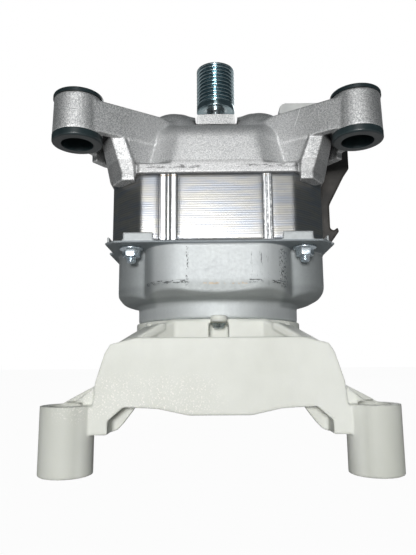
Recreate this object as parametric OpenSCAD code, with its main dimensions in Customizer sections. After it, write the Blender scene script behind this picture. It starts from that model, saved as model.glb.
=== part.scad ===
// Belt drive motor of a washing machine, built piece by piece.
// The shaft runs along Z with the belt pulley at the top.
// The origin is on the shaft axis, in the middle plane of the belt.
// The two lugs and the two posts that carry the motor lie on the -Y side.

/* [Belt pulley] */
// Diameter over the ribs
pulley_d = 23.7; // [20:0.1:30]
// Distance from one rib to the next
rib_pitch = 2.34; // [2:0.02:2.8]
// Number of ribs
rib_count = 10; // [6:1:12]
// Depth of the grooves between the ribs
rib_depth = 1.9; // [1.2:0.1:2.4]
// Width of each rib's flat crest
rib_crest = 0.6; // [0.3:0.05:0.9]
// Plain land in front of the first groove
pulley_land = 1.3; // [0.5:0.1:3]
// Plain band behind the last groove
pulley_band = 3.3; // [1:0.1:6]
// Depth of the countersink in the pulley's front end
pulley_chamfer = 0.6; // [0.3:0.1:1.2]

/* [Shaft] */
// Diameter of the seat that the pulley is pressed on
drive_seat_d = 10; // [8:0.5:11]
// Diameter of the front bearing's seat
front_seat_d = 17; // [15:1:17]
// Diameter of the seat that carries the rotor
core_seat_d = 20; // [19:0.5:22]
// Diameter of the rear bearing's seat
rear_seat_d = 15; // [12:1:15]
// Diameter of the tail that carries the speed magnet
tail_d = 8; // [6:0.5:9]
// Distance that the shaft's end stays back inside the pulley
shaft_setback = 1; // [0:0.5:4]

/* [Stator and rotor] */
// Width of the lamination stack across its flats
stack_w = 110.6; // [108:0.2:114]
// Diameter across the stack's rounded corners
stack_corner_d = 135; // [134:0.5:137]
// Length of the lamination stack
stack_len = 34.5; // [28:0.5:44]
// Bore of the stator
stator_bore = 56; // [52:0.5:58]
// Number of winding slots
slot_count = 24; // [18:6:30]
// Depth of a winding slot
slot_depth = 17; // [14:0.5:18]
// Thickness of the stator's tooth tips
tooth_tip = 1.8; // [1.2:0.1:2.4]
// Width of a slot's mouth
slot_mouth = 2.4; // [1.8:0.1:2.8]
// Thickness of the slot liners
liner_t = 0.3; // [0.2:0.05:0.5]
// Air gap between rotor and stator
air_gap = 0.35; // [0.25:0.05:0.6]
// Length of the winding beyond each end of the stack
end_turn_len = 15; // [10:0.5:17]
// Number of bars in the rotor cage
bar_count = 22; // [18:1:28]
// Diameter of a rotor bar
bar_d = 3.6; // [2.5:0.1:4]
// Thickness of the rotor's end rings
end_ring_t = 5; // [3:0.5:7]
// Height of the fan blades on the end rings
blade_h = 7; // [4:0.5:9]
// Number of fan blades on each end ring
blade_count = 8; // [6:1:12]
// Depth of the weld grooves in the stack's faces
weld_depth = 0.6; // [0.4:0.1:1.2]
// Width of one weld groove
weld_w = 4.2; // [3:0.2:6]
// Distance of the weld grooves from the middle of the face
weld_offset = 25; // [20:0.5:30]

/* [Front endshield] */
// Distance from the pulley's back end to the bearing boss
boss_gap = 6; // [4:0.5:12]
// Outer diameter of the bearing boss
boss_d = 23.4; // [20:0.2:28]
// Bore of the bearing boss round the shaft
boss_bore = 13; // [12:0.5:15]
// Distance from the boss's end face to the stack
shield_h = 54.4; // [50:0.2:60]
// Thickness of the rim plate that lies on the stack
rim_h = 5.2; // [4:0.2:8]
// Wall of the rim outside the stack
skirt_wall = 1.7; // [1.4:0.1:3]
// Distance that the legs reach down over the stack
skirt_drop = 3.8; // [2:0.2:8]
// Diameter of the dome at the rim
dome_base_d = 123; // [120:0.5:126]
// Diameter of the dome where its shoulder starts
dome_top_d = 116.6; // [112:0.2:120]
// Height of the dome from the rim to the shoulder's top
dome_h = 26.2; // [24:0.2:30]
// Radius of the dome's rounded shoulder
shoulder_r = 12; // [8:0.5:14]
// Rise of the dome's top toward the boss
crown_rise = 7; // [5:0.5:10]
// Wall of the dome
dome_wall = 4.2; // [3:0.2:6]
// Inward lean of the dome's four flat faces
flat_lean = 1.8; // [1:0.1:3]
// Radius of the four rounded humps on the dome
hump_r = 19.5; // [17:0.5:21]
// Distance of each hump from the axis, along X and Y
hump_pos = 24; // [22:0.5:26]
// Height of the humps above the dome's shoulder
hump_rise = 14.4; // [12:0.2:17]
// Outer diameter of the front bearing's hub
hub_d = 50; // [48:0.5:56]

/* [Lugs and arms] */
// Distance between the two lugs
lug_spacing = 140; // [130:1:150]
// Distance of the lugs in front of the shaft axis
lug_forward = 60; // [56:0.5:66]
// Distance of the lugs' middle below the belt plane
lug_drop = 48.4; // [46:0.2:52]
// Height of a lug
lug_h = 19; // [16:0.5:24]
// Outer diameter of a lug
lug_d = 24.8; // [24:0.2:30]
// Draft of a lug, as the loss of diameter toward its top
lug_draft = 0.8; // [0.2:0.1:1.4]
// Bore of a lug for its rubber bush
lug_bore = 20; // [18:0.2:20.6]
// Angle of the arms' front walls in plan
arm_angle = 33; // [30:1:36]
// Height of an arm
arm_h = 16.4; // [12:0.2:18]
// Wall of the arms
arm_wall = 4; // [3:0.2:5]
// Depth of the rear web below the arm
web_drop = 4; // [2:0.5:8]
// Width of the legs' front faces
leg_w = 6.4; // [5:0.2:9]
// Distance of the legs' inner edge from the middle
leg_x = 41.6; // [40.5:0.2:43]
// Outward lean of the legs up to the arm
leg_lean = 5.4; // [3:0.2:7]

/* [Rubber bushes] */
// Bore of a bush for the carrying bolt or pin
bush_bore = 16; // [10:0.5:16]
// Outer diameter of a bush's flanges
bush_flange_d = 25; // [24:0.2:30]
// Thickness of the upper flange
bush_top_t = 2.3; // [1.5:0.1:4]
// Thickness of the lower flange
bush_bottom_t = 3.7; // [1.5:0.1:5]
// Rounding of the flanges' rims
bush_round = 1; // [0.5:0.1:1.4]

/* [Bearings] */
// Outer diameter of the front bearing
front_bearing_od = 40; // [38:1:42]
// Width of the front bearing
front_bearing_w = 12; // [11:0.5:13]
// Ball diameter of the front bearing
front_ball_d = 6.75; // [6:0.25:7]
// Outer diameter of the rear bearing
rear_bearing_od = 35; // [33:1:37]
// Width of the rear bearing
rear_bearing_w = 11; // [10:0.5:12]
// Ball diameter of the rear bearing
rear_ball_d = 6; // [5.5:0.25:6.5]
// Number of balls in each bearing
ball_count = 8; // [7:1:8]
// Depth of the front bearing's shoulder below the boss's end
bearing_depth = 20; // [18:0.5:23]
// Thickness of the bearing shields
shield_t = 0.6; // [0.4:0.1:0.8]
// Thickness of the snap ring under the front bearing
circlip_t = 1.5; // [1:0.1:2]
// Height of the pressed wave washer
wave_h = 0.8; // [0.5:0.1:1.5]

/* [Rear cover] */
// Sheet thickness of the rear cover
sheet_t = 1.3; // [1:0.1:2]
// Depth of the cover below the stack
cover_depth = 38.1; // [36:0.1:44]
// Distance of the cup's front and back faces from the axis
cup_half = 55.4; // [53:0.2:56]
// Distance of the cup's side faces from the axis
cup_side = 57.1; // [56:0.1:57.4]
// Shift of the cup's side lobes toward the terminal side
lobe_shift = 1.8; // [0:0.2:1.8]
// Half width of the flat part of each face
cup_flat = 17; // [14:0.5:19]
// Radius that each face curves back with
cup_round = 21.2; // [19:0.2:22]
// Diameter of the narrow ring at the cup's end
ring_d = 91.8; // [88:0.2:96]
// Length of the narrow ring
ring_len = 9.6; // [7:0.2:13]
// Half width of the flange's middle part along X
flange_half = 59; // [58.8:0.2:61]
// Half width of the flange's middle part along Y
flange_front = 56.8; // [56.8:0.2:60]
// Half length of the flange's middle parts
flange_mid = 28.7; // [27:0.2:30]
// Distance between two tie rods along a side
rod_spacing = 89; // [87:0.5:90]
// Height of the tabs that fold up round the stack
tab_h = 4; // [3:0.5:8]
// Width of a tab
tab_w = 15; // [12:0.5:16]
// Distance of a tab's middle from the middle of its side
tab_x = 39.4; // [38.4:0.2:40]

/* [Tie rods and nuts] */
// Thread diameter of the tie rods
rod_d = 5; // [4:0.5:5]
// Depth of the tie rods in the endshield
rod_grip = 11; // [8:0.5:12]
// Length of the tie rod beyond the flange
rod_tail = 8; // [6.5:0.5:12]
// Width across the nut's flats
nut_af = 8; // [7:0.5:8]
// Height of the nut
nut_h = 5; // [4:0.5:6]
// Diameter of the nut's flange
nut_flange_d = 11.8; // [10:0.2:12.4]
// Thickness of the nut's flange
nut_flange_t = 1.1; // [0.8:0.1:1.8]

/* [Mounting bracket] */
// Wall of the plastic bracket
wall_t = 3; // [2:0.2:4]
// Outer diameter of the seat ring under the cover
seat_d = 94; // [92:0.5:98]
// Width of the seat ring
seat_w = 14; // [12:0.5:16]
// Thickness of the seat ring
seat_t = 2; // [1.5:0.5:3]
// Distance of the front wall in front of the shaft axis
front_wall_y = 66; // [62:0.5:70]
// Depth of the front wall's top below the seat
front_top = 10; // [8:0.5:14]
// Depth of the front wall's belly below the seat
belly_drop = 45; // [40:0.5:50]
// Depth of the steps beside the belly below the seat
step_drop = 41.2; // [38:0.2:44]
// Depth of the feet below the seat
foot_drop = 53.3; // [50:0.2:58]
// Half width of the front wall at its feet
foot_half = 60; // [58:0.5:64]
// Width of a foot
foot_w = 9.5; // [8:0.5:10.5]
// Half width of the recess behind the front wall
recess_half = 22; // [20:0.5:26]
// Distance of the recess wall in front of the shaft axis
recess_y = 47; // [45.5:0.5:50]
// Width of the niche round the front bracket screw
niche_w = 10; // [8:0.5:14]
// Outer diameter of a post
post_d = 24.6; // [22:0.2:30]
// Height of a post
post_h = 30.5; // [27:0.5:34]
// Bore of a post
post_bore = 16; // [10:0.5:16]
// Depth of the posts' lower ends below the seat
post_drop = 71; // [64:0.5:78]
// Number of screws that hold the bracket
seat_screws = 4; // [3:1:6]
// Distance of the bracket screws inside the seat ring's edge
seat_screw_in = 6.5; // [6:0.5:8]
// Shank diameter of the bracket screws
seat_screw_d = 4; // [3:0.5:4.5]
// Head diameter of the bracket screws
seat_head_d = 7.4; // [6:0.2:8.6]
// Head height of the bracket screws
seat_head_h = 2.4; // [1.6:0.1:3]
// Length of the bracket screws' thread in the cover
seat_screw_grip = 5; // [3:0.5:7]

/* [Speed sensor] */
// Outer diameter of the magnet on the shaft's tail
magnet_d = 22; // [18:0.5:24]
// Thickness of the magnet
magnet_t = 8; // [5:0.5:9]
// Distance from the cover to the magnet
magnet_gap = 3; // [2:0.5:5]
// Radial gap between magnet and coil
sensor_gap = 1.2; // [0.8:0.1:2]
// Radial width of the coil
coil_w = 4; // [3:0.2:5]
// Outer diameter of the sensor cap
cap_d = 38; // [37:0.5:42]
// Wall of the sensor cap
cap_wall = 1.6; // [1.2:0.1:2]

/* [Terminals] */
// Width of the lead duct along Y
duct_w = 28; // [24:1:32]
// Distance of the duct's front face from the axis
duct_front = 16; // [12:1:16]
// Wall of the lead duct
duct_wall = 2; // [1.6:0.2:2.4]
// Distance that the connector housing stays back behind the duct's front
housing_inset = 4; // [3:0.5:6]
// Width of the connector housing along X
housing_w = 36; // [30:0.5:36]
// Height of the connector housing
housing_h = 26; // [18:0.5:30]
// Corner radius of the connector housing
housing_round = 4; // [2:0.5:5]
// Wall of the connector housing
housing_wall = 2; // [1.6:0.2:2.6]
// Number of pins in the connector
pin_count = 6; // [4:1:6]
// Width of a pin
pin_w = 2.8; // [2:0.2:3]
// Thickness of a pin
pin_t = 0.8; // [0.6:0.1:1]
// Distance between two pins
pin_pitch = 5; // [4:0.1:5]
// Depth of the pins' roots behind the housing's front
pin_root = 4; // [3:0.5:6]
// Distance that the pins' tips stay inside the mouth
pin_back = 6; // [4:0.5:8]
// Thickness of the block that holds the pins' roots
socket_floor = 8; // [7:0.5:10]
// Diameter of the lead bundle
bundle_d = 6; // [4:0.5:7]
// Height of the leads over the housing's floor
lead_rise = 4; // [2:0.5:6]
// Diameter of the duct's screws
duct_screw_d = 3; // [2.5:0.1:3.5]
// Distance between the duct's screws
duct_screw_spread = 16; // [12:1:18]
// Depth of the duct's screws below the rim's top
duct_screw_drop = 2.6; // [2.2:0.1:3]
// Length of the duct's screws in the rim
duct_screw_grip = 5; // [4:0.5:6]
// Head height of the duct's screws
duct_head_h = 1.6; // [1.2:0.1:2]

/* [Hidden] */

// Cleared holes are this much wider, on the radius
hole_fit = 0.1;
// Gap between parts that run past each other
run_gap = 0.3;
// Overlap of two shapes that are joined into one solid
bite = 0.5;
// Depth that a cutting tool passes beyond a face
past = 1;

// Heights along the shaft, measured from the belt plane
pulley_front = rib_count * rib_pitch / 2 + pulley_land;
pulley_back = -(rib_count * rib_pitch / 2 + pulley_band);
boss_top = pulley_back - boss_gap;
stack_top = boss_top - shield_h;
stack_bottom = stack_top - stack_len;
rim_top = stack_top + rim_h;
dome_top = rim_top + dome_h;
crown_top = dome_top + crown_rise;
front_bearing_top = boss_top - bearing_depth;
front_bearing_bottom = front_bearing_top - front_bearing_w;
seat_top = stack_bottom - cover_depth;
rear_bearing_bottom = seat_top + sheet_t + wave_h;
rear_bearing_top = rear_bearing_bottom + rear_bearing_w;
magnet_top = seat_top - magnet_gap;
lug_z = -lug_drop;

// Radii and half widths worked out from the driving sizes
stack_half = stack_w / 2;
rim_half = stack_half + skirt_wall;
rim_corner_r = stack_corner_d / 2 + skirt_wall;
lug_x = lug_spacing / 2;
rod_pos = rod_spacing / 2;
slot_outer = stator_bore / 2 + tooth_tip + slot_depth;
rotor_r = stator_bore / 2 - air_gap;
crown_r = dome_top_d / 2 - shoulder_r;
front_pitch_d = (front_bearing_od + front_seat_d) / 2;
rear_pitch_d = (rear_bearing_od + rear_seat_d) / 2;
duct_mid = duct_w / 2 - duct_front;
post_z = seat_top - post_drop;
seat_screw_r = seat_d / 2 - seat_screw_in;

// Flat outlines used by several pieces

// A square with its corners cut to a circle about the shaft axis
module squared_disc(half, corner_r) {
    intersection() {
        square(2 * half, center = true);
        circle(r = corner_r, $fn = 96);
    }
}

// A rectangle with round corners
module round_rect(w, d, r) {
    union() {
        square([w, d - 2 * r], center = true);
        square([w - 2 * r, d], center = true);
        for (sx = [-1, 1], sy = [-1, 1])
            translate([sx * (w / 2 - r), sy * (d / 2 - r)]) circle(r = r, $fn = 48);
    }
}

// The cup's outline: two crossed rounded bars that leave a crease at each corner
module cup_outline(inset) {
    bar = cup_flat + cup_round - inset;
    round_rect(2 * bar, 2 * (cup_half - inset), cup_round - inset);
    translate([lobe_shift, 0])
        rotate(90) round_rect(2 * bar, 2 * (cup_side - inset), cup_round - inset);
}

// Copies a child to the four tie rod places
module at_rods() {
    for (sx = [-1, 1], sy = [-1, 1])
        translate([sx * rod_pos, sy * rod_pos, 0]) children();
}

// Copies a right hand child to the left as well
module both_sides() {
    for (side = [0, 1])
        mirror([side, 0, 0]) children();
}

// A plain tube standing on z
module tube(outer_r, inner_r, z, h) {
    translate([0, 0, z])
        difference() {
            cylinder(r = outer_r, h = h, $fn = 96);
            translate([0, 0, -past]) cylinder(r = inner_r, h = h + 2 * past, $fn = 96);
        }
}

// Front endshield: the die cast aluminium dome with its arms and lugs
arm_top = lug_z + lug_h / 2 - 2;
arm_bottom = arm_top - arm_h;
arm_half = lug_d / 2 - lug_draft;
arm_front = [lug_x - arm_half * sin(arm_angle), -lug_forward - arm_half * cos(arm_angle)];
arm_rear = [lug_x + arm_half * cos(arm_angle), -lug_forward + arm_half * sin(arm_angle)];
arm_reach = (arm_front[0] - hub_d * 0.35) / cos(arm_angle);
arm_inner = arm_front + arm_reach * [-cos(arm_angle), sin(arm_angle)];
rear_reach = (arm_rear[0] - rim_half) / sin(arm_angle);
arm_side = arm_rear + rear_reach * [-sin(arm_angle), cos(arm_angle)];
web_len = rear_reach / 2;
wall_start = (arm_front[0] - leg_x - leg_w / 2) / cos(arm_angle);
wall_back = 0.3;
// Outer corner of a leg, where its side turns to the rear
heel = [rim_half - 2.8, -rod_pos - 4];

// Y of the arm's front wall at a given X
function arm_face(x) = arm_front[1] + (arm_front[0] - x) * tan(arm_angle);

module dome_profile(inset) {
    base_r = dome_base_d / 2 - inset;
    top_r = dome_top_d / 2 - inset;
    round_r = shoulder_r - inset;
    flat_r = top_r - round_r;
    shoulder_z = dome_top - inset - round_r;
    polygon(concat(
        [[0, stack_top - past], [base_r, stack_top - past], [base_r, rim_top]],
        [for (a = [0 : 9 : 90]) [flat_r + round_r * cos(a), shoulder_z + round_r * sin(a)]],
        [[boss_d / 2, crown_top - inset], [0, crown_top - inset]]));
}

module leaning_flats() {
    foot = rim_half;
    brow = rim_half - flat_lean;
    brow_z = rim_top + dome_h / 2;
    brow_r = shoulder_r;
    side = concat([[0, stack_top - past], [foot, stack_top - past], [foot, rim_top]],
        [for (a = [0 : 9 : 90]) [brow - brow_r + brow_r * cos(a), brow_z + brow_r * sin(a)]],
        [[0, crown_top + past]]);
    intersection_for(turn = [0, 90])
        rotate([0, 0, turn])
            rotate([90, 0, 0])
                linear_extrude(height = 2 * dome_base_d, center = true)
                    union() {
                        polygon(side);
                        mirror([1, 0]) polygon(side);
                    }
}

module arm_outline(inset) {
    slope = [cos(arm_angle), -sin(arm_angle)];
    offset(delta = -inset)
        polygon([arm_front, arm_inner, [hub_d * 0.35, -hub_d * 0.4],
            [rim_half - 2 * arm_wall, -hub_d * 0.4], arm_side, arm_rear]);
}

module arm() {
    difference() {
        translate([0, 0, arm_bottom]) linear_extrude(height = arm_h) arm_outline(0);
        translate([0, 0, arm_bottom - past])
            linear_extrude(height = arm_h - arm_wall + past)
                difference() {
                    arm_outline(arm_wall);
                    circle(r = dome_top_d / 2 - dome_wall, $fn = 96);
                }
    }
    // Rear web that runs down from the lug to the rim
    translate([arm_rear[0], arm_rear[1], 0])
        rotate([0, 0, 90 + arm_angle])
            translate([rear_reach - web_len, 0, arm_bottom - web_drop])
                cube([web_len, arm_wall, web_drop + arm_wall]);
    // Front wall that runs on down to the rim, inboard of the leg
    translate([arm_front[0], arm_front[1], rim_top - bite])
        rotate([0, 0, 180 - arm_angle])
            translate([wall_start, -arm_wall - wall_back, 0])
                cube([arm_reach - wall_start - 3, arm_wall, arm_bottom - rim_top + 2 * bite]);
}

module leg() {
    brow_x = leg_x + leg_lean;
    brow_y = arm_face(brow_x);
    hull() {
        translate([0, 0, stack_top])
            linear_extrude(height = rim_h)
                polygon([[leg_x, -rim_half], [leg_x + leg_w, -rim_half], heel,
                    [rim_half, -rod_pos + 5], [rim_half, -rod_pos + 14], [rod_pos + 1, -rod_pos + 11],
                    [leg_x, -rod_pos + 1]]);
        translate([0, 0, arm_bottom])
            linear_extrude(height = arm_wall / 2)
                polygon([[brow_x, brow_y], [brow_x + leg_w, brow_y],
                    [rim_half + 3, -rod_pos - 3], [rim_half + 3, -rod_pos + 10],
                    [brow_x, -rod_pos + 10], [brow_x, -rod_pos]]);
    }
    // Foot of the leg, which reaches down past the stack's corner
    translate([0, 0, stack_top - skirt_drop])
        linear_extrude(height = skirt_drop + bite)
            difference() {
                polygon([[leg_x, -rim_half], [leg_x + leg_w, -rim_half], heel,
                    heel + [-3, 3], [leg_x, -rod_pos - 4]]);
                squared_disc(stack_half + hole_fit, stack_corner_d / 2 + hole_fit);
            }
}

module front_endshield() {
    color("#a9abab")
        difference() {
            union() {
                intersection() {
                    rotate_extrude($fn = 120) dome_profile(0);
                    leaning_flats();
                    translate([0, 0, stack_top]) cylinder(r = dome_base_d, h = shield_h);
                }
                translate([0, 0, stack_top])
                    linear_extrude(height = rim_h) squared_disc(rim_half, rim_corner_r);
                translate([0, 0, front_bearing_top])
                    cylinder(d = boss_d, h = bearing_depth, $fn = 96);
                for (sx = [-1, 1], sy = [-1, 1])
                    translate([sx * hump_pos, sy * hump_pos, dome_top + hump_rise - hump_r])
                        sphere(r = hump_r, $fn = 48);
                both_sides() {
                    arm();
                    leg();
                    translate([lug_x, -lug_forward, lug_z - lug_h / 2])
                        cylinder(d1 = lug_d, d2 = lug_d - lug_draft, h = lug_h, $fn = 96);
                    translate([rod_pos, rod_pos, stack_top])
                        cylinder(r = rod_d + 2, h = rod_grip + 3, $fn = 48);
                }
            }
            // Inner cavity below the dome
            intersection() {
                difference() {
                    rotate_extrude($fn = 120) dome_profile(dome_wall);
                    translate([0, 0, front_bearing_bottom - circlip_t - 2])
                        cylinder(d = hub_d, h = shield_h, $fn = 96);
                }
                translate([0, 0, stack_top - 2 * past])
                    cylinder(r = rim_half - dome_wall - 1.4, h = shield_h, $fn = 120);
            }
            // Bearing seat, its snap ring groove and the bore round the shaft
            translate([0, 0, front_bearing_bottom - circlip_t - 2 - past])
                cylinder(d = front_bearing_od, h = front_bearing_w + circlip_t + 2 + past, $fn = 96);
            translate([0, 0, front_bearing_bottom - circlip_t])
                cylinder(d = front_bearing_od + 2, h = circlip_t, $fn = 96);
            translate([0, 0, front_bearing_top - past])
                cylinder(d = boss_bore, h = bearing_depth + 2 * past, $fn = 96);
            translate([0, 0, front_bearing_top - past])
                cylinder(d = front_bearing_od - 8, h = 2 * past, $fn = 96);
            both_sides()
                translate([lug_x, -lug_forward, lug_z - lug_h / 2 - past])
                    cylinder(d = lug_bore, h = lug_h + 2 * past, $fn = 96);
            at_rods()
                translate([0, 0, stack_top - past])
                    cylinder(d = rod_d + 2 * hole_fit, h = rod_grip + past, $fn = 48);
            // Window for the leads in the right side of the dome
            translate([rim_half - 15, duct_mid, lead_z])
                rotate([0, 90, 0])
                    cylinder(d = bundle_d + 3, h = 20, $fn = 48);
            duct_screw_holes();
        }
}

// Rubber bushes in the lugs
module bush() {
    body_r = lug_bore / 2 - hole_fit / 2;
    half = lug_h / 2;
    rim = bush_flange_d / 2;
    soft = bush_round;
    translate([lug_x, -lug_forward, lug_z])
        rotate_extrude($fn = 96)
            polygon(concat(
                [[bush_bore / 2, -half - bush_bottom_t]],
                [for (a = [-90 : 18 : 0])
                    [rim - soft + soft * cos(a), -half - bush_bottom_t + soft + soft * sin(a)]],
                [[rim, -half], [body_r, -half], [body_r, half], [rim, half]],
                [for (a = [0 : 18 : 90])
                    [rim - soft + soft * cos(a), half + bush_top_t - soft + soft * sin(a)]],
                [[bush_bore / 2, half + bush_top_t]]));
}

module left_bush() {
    color("#22282b") mirror([1, 0, 0]) bush();
}

module right_bush() {
    color("#22282b") bush();
}

// Stator: laminations, slot liners and winding
slot_pitch = 360 / slot_count;
slot_inner_w = 3.2;
slot_outer_w = 6.6;

module slot_shape(inset) {
    inner = stator_bore / 2 + tooth_tip + inset;
    outer = slot_outer - inset;
    polygon([[inner, -slot_inner_w / 2 + inset], [outer, -slot_outer_w / 2 + inset],
        [outer, slot_outer_w / 2 - inset], [inner, slot_inner_w / 2 - inset]]);
}

module all_slots(inset) {
    for (i = [0 : slot_count - 1])
        rotate(i * slot_pitch) slot_shape(inset);
}

module stator_core() {
    color("#c9cacb")
        translate([0, 0, stack_bottom])
            linear_extrude(height = stack_len)
                difference() {
                    squared_disc(stack_half, stack_corner_d / 2);
                    circle(d = stator_bore, $fn = 120);
                    all_slots(0);
                    for (i = [0 : slot_count - 1])
                        rotate(i * slot_pitch)
                            translate([stator_bore / 2 - past, -slot_mouth / 2])
                                square([tooth_tip + 2 * past, slot_mouth]);
                    for (sx = [-1, 1], sy = [-1, 1])
                        translate([sx * rod_pos, sy * rod_pos])
                            circle(d = rod_d + 2 * hole_fit, $fn = 48);
                    for (turn = [0 : 90 : 270], x = [-weld_offset - weld_w / 2 - 1,
                            -weld_offset + weld_w / 2 + 1, weld_offset])
                        rotate(turn)
                            translate([x - weld_w / 2, -stack_half - past])
                                square([weld_w, weld_depth + past]);
                }
}

module slot_liners() {
    color("#e8e4d2")
        translate([0, 0, stack_bottom])
            linear_extrude(height = stack_len)
                difference() {
                    all_slots(0);
                    all_slots(liner_t);
                }
}

module end_turns(z, dir) {
    inner = stator_bore / 2 + tooth_tip + 0.6;
    outer = slot_outer + 0.6;
    crown = 3;
    translate([0, 0, z])
        mirror([0, 0, dir < 0 ? 1 : 0])
            rotate_extrude($fn = 96)
                polygon([[inner, 0], [outer, 0], [outer, end_turn_len - crown],
                    [outer - crown, end_turn_len], [inner + crown, end_turn_len],
                    [inner, end_turn_len - crown]]);
}

module stator_winding() {
    color("#b5652f")
        union() {
            translate([0, 0, stack_bottom - bite])
                linear_extrude(height = stack_len + 2 * bite) all_slots(liner_t);
            end_turns(stack_top, 1);
            end_turns(stack_bottom, -1);
        }
}

module thermal_protector() {
    color("#303236")
        translate([-6, (stator_bore + slot_depth) / 2 - 3.5, stack_bottom - end_turn_len - 4])
            cube([12, 7, 4]);
}

// Rear cover: the pressed steel cup with its flange, tabs and bearing pocket
ring_top = seat_top + ring_len;

// Roll between the ring and the cup's wall: radius, and height above the ring
cup_roll = [[ring_d / 2, 0], [ring_d / 2 + 4, 0.5], [ring_d / 2 + 7.6, 1.4], [ring_d / 2 + 9.5, 2.5],
    [ring_d / 2 + 12.5, 4], [ring_d / 2 + 15, 6], [ring_d / 2 + 18, 10]];

module cup_body(inset) {
    slant = [-0.55 * inset, ring_top + 0.85 * inset];
    intersection() {
        translate([0, 0, ring_top - past])
            linear_extrude(height = stack_bottom - ring_top + 2 * past) cup_outline(inset);
        rotate_extrude($fn = 120)
            polygon(concat([[0, ring_top + inset]], [for (p = cup_roll) p + slant],
                [[dome_base_d / 2 + 4, stack_bottom - 4 * sheet_t],
                    [dome_base_d / 2 + 4, stack_bottom + past], [0, stack_bottom + past]]));
    }
    translate([0, 0, seat_top + inset])
        cylinder(r = ring_d / 2 - inset, h = ring_len + past, $fn = 120);
}

module flange_outline() {
    corner = [stack_half + hole_fit + sheet_t, rod_pos + 7.2];
    union() {
        square([2 * flange_half, 2 * flange_mid], center = true);
        square([2 * flange_mid, 2 * flange_front], center = true);
        // The right side's edge runs on to the front corner
        translate([0, -rod_pos - 4]) square([flange_half, rod_pos + 4]);
        intersection() {
            square(2 * corner[0], center = true);
            rotate(45) square(2 * (corner[0] + corner[1]) / sqrt(2), center = true);
        }
    }
}

module tabs() {
    for (turn = [0 : 90 : 270], side = [-1, 1])
        rotate([0, 0, turn])
            translate([side * tab_x - tab_w / 2, -stack_half - hole_fit - sheet_t, stack_bottom - sheet_t])
                cube([tab_w, sheet_t, tab_h + sheet_t]);
}

module rear_cover() {
    pocket_r = rear_bearing_od / 2;
    color("#b9bdbf")
        difference() {
            union() {
                difference() {
                    union() {
                        cup_body(0);
                        translate([0, 0, stack_bottom - sheet_t])
                            linear_extrude(height = sheet_t) flange_outline();
                        tabs();
                    }
                    cup_body(sheet_t);
                    translate([0, 0, stack_bottom])
                        linear_extrude(height = tab_h + past)
                            squared_disc(stack_half + hole_fit, stack_corner_d);
                }
                tube(pocket_r + sheet_t, pocket_r, seat_top, rear_bearing_top - seat_top - 1);
                tube(pocket_r + bite, pocket_r - 4.5, seat_top, sheet_t);
            }
            translate([0, 0, seat_top - past])
                cylinder(r = pocket_r - 4.5, h = 3 * past, $fn = 96);
            at_rods()
                translate([0, 0, stack_bottom - sheet_t - past])
                    cylinder(d = rod_d + 2 * hole_fit, h = sheet_t + 2 * past, $fn = 48);
            at_seat_screws()
                translate([0, 0, seat_top - past])
                    cylinder(d = seat_screw_d, h = sheet_t + 2 * past, $fn = 48);
        }
}

// Tie rods and their flange nuts
rod_end = stack_bottom - sheet_t - rod_tail;

module tie_rods() {
    color("#8f979b")
        at_rods()
            translate([0, 0, rod_end]) {
                translate([0, 0, 0.6])
                    cylinder(d = rod_d, h = stack_top + rod_grip - 0.4 - rod_end - 0.6, $fn = 48);
                cylinder(d1 = rod_d - 1.2, d2 = rod_d, h = 0.6, $fn = 48);
            }
}

module flange_nuts() {
    face = stack_bottom - sheet_t;
    color("#aebdc6")
        at_rods()
            difference() {
                union() {
                    translate([0, 0, face - nut_flange_t])
                        cylinder(d = nut_flange_d, h = nut_flange_t, $fn = 48);
                    translate([0, 0, face - nut_h])
                        cylinder(d = nut_af / cos(30), h = nut_h - nut_flange_t / 2, $fn = 6);
                }
                translate([0, 0, face - nut_h - past])
                    cylinder(d = rod_d, h = nut_h + 2 * past, $fn = 48);
            }
}

// Mounting bracket: the white plastic saddle with its two posts
front_wall_top = seat_top - front_top;
belly_z = seat_top - belly_drop;
step_z = seat_top - step_drop;
foot_z = seat_top - foot_drop;
post_top = post_z + post_h;
niche_back = seat_screw_r - seat_head_d / 2 - 1;
niche_drop = 8;
// Rear end of the side walls, as a direction on the seat ring
flank_end = [0.8, -0.6];

module at_seat_screws() {
    for (i = [0 : seat_screws - 1])
        rotate([0, 0, 270 + i * 360 / seat_screws])
            translate([seat_screw_r, 0, 0]) children();
}

// Right half of the front wall's outline, in X and Z
module wall_half() {
    polygon([[0, front_wall_top], [foot_half - 22, front_wall_top],
        [foot_half - 10, front_wall_top - 3], [foot_half - 7.5, front_wall_top - 7],
        [foot_half - 3.5, front_wall_top - 20], [foot_half - 2.5, post_top - 1],
        [foot_half, post_top - 1], [foot_half, foot_z], [foot_half - foot_w, foot_z],
        [foot_half - foot_w, foot_z + 6], [foot_half - 16.5, step_z],
        [foot_half - 32, step_z - 0.8], [foot_half - 46, belly_z], [0, belly_z]]);
}

module upright(y, t) {
    translate([0, y + t, 0])
        rotate([90, 0, 0])
            linear_extrude(height = t) children();
}

// Plan of the side and back walls
module saddle_plan(inset) {
    front = -front_wall_y + inset;
    side = foot_half - 4 - inset;
    ring = seat_d / 2 - inset;
    union() {
        circle(r = ring, $fn = 96);
        polygon([[-side, front], [side, front], ring * flank_end, [-flank_end[0], flank_end[1]] * ring]);
    }
}

// Side view limit of the saddle, in Y and Z
module saddle_side() {
    rotate([90, 0, 90])
        linear_extrude(height = 4 * foot_half, center = true)
            polygon([[-front_wall_y, front_wall_top], [-front_wall_y + 5, front_wall_top],
                [-seat_d / 2 + 2, seat_top], [seat_d, seat_top], [seat_d, seat_top - 20],
                [seat_d / 2 - 4, seat_top - 20], [0, step_z], [-front_wall_y, step_z]]);
}

module both_sides_flat() {
    children();
    mirror([1, 0]) children();
}

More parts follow.
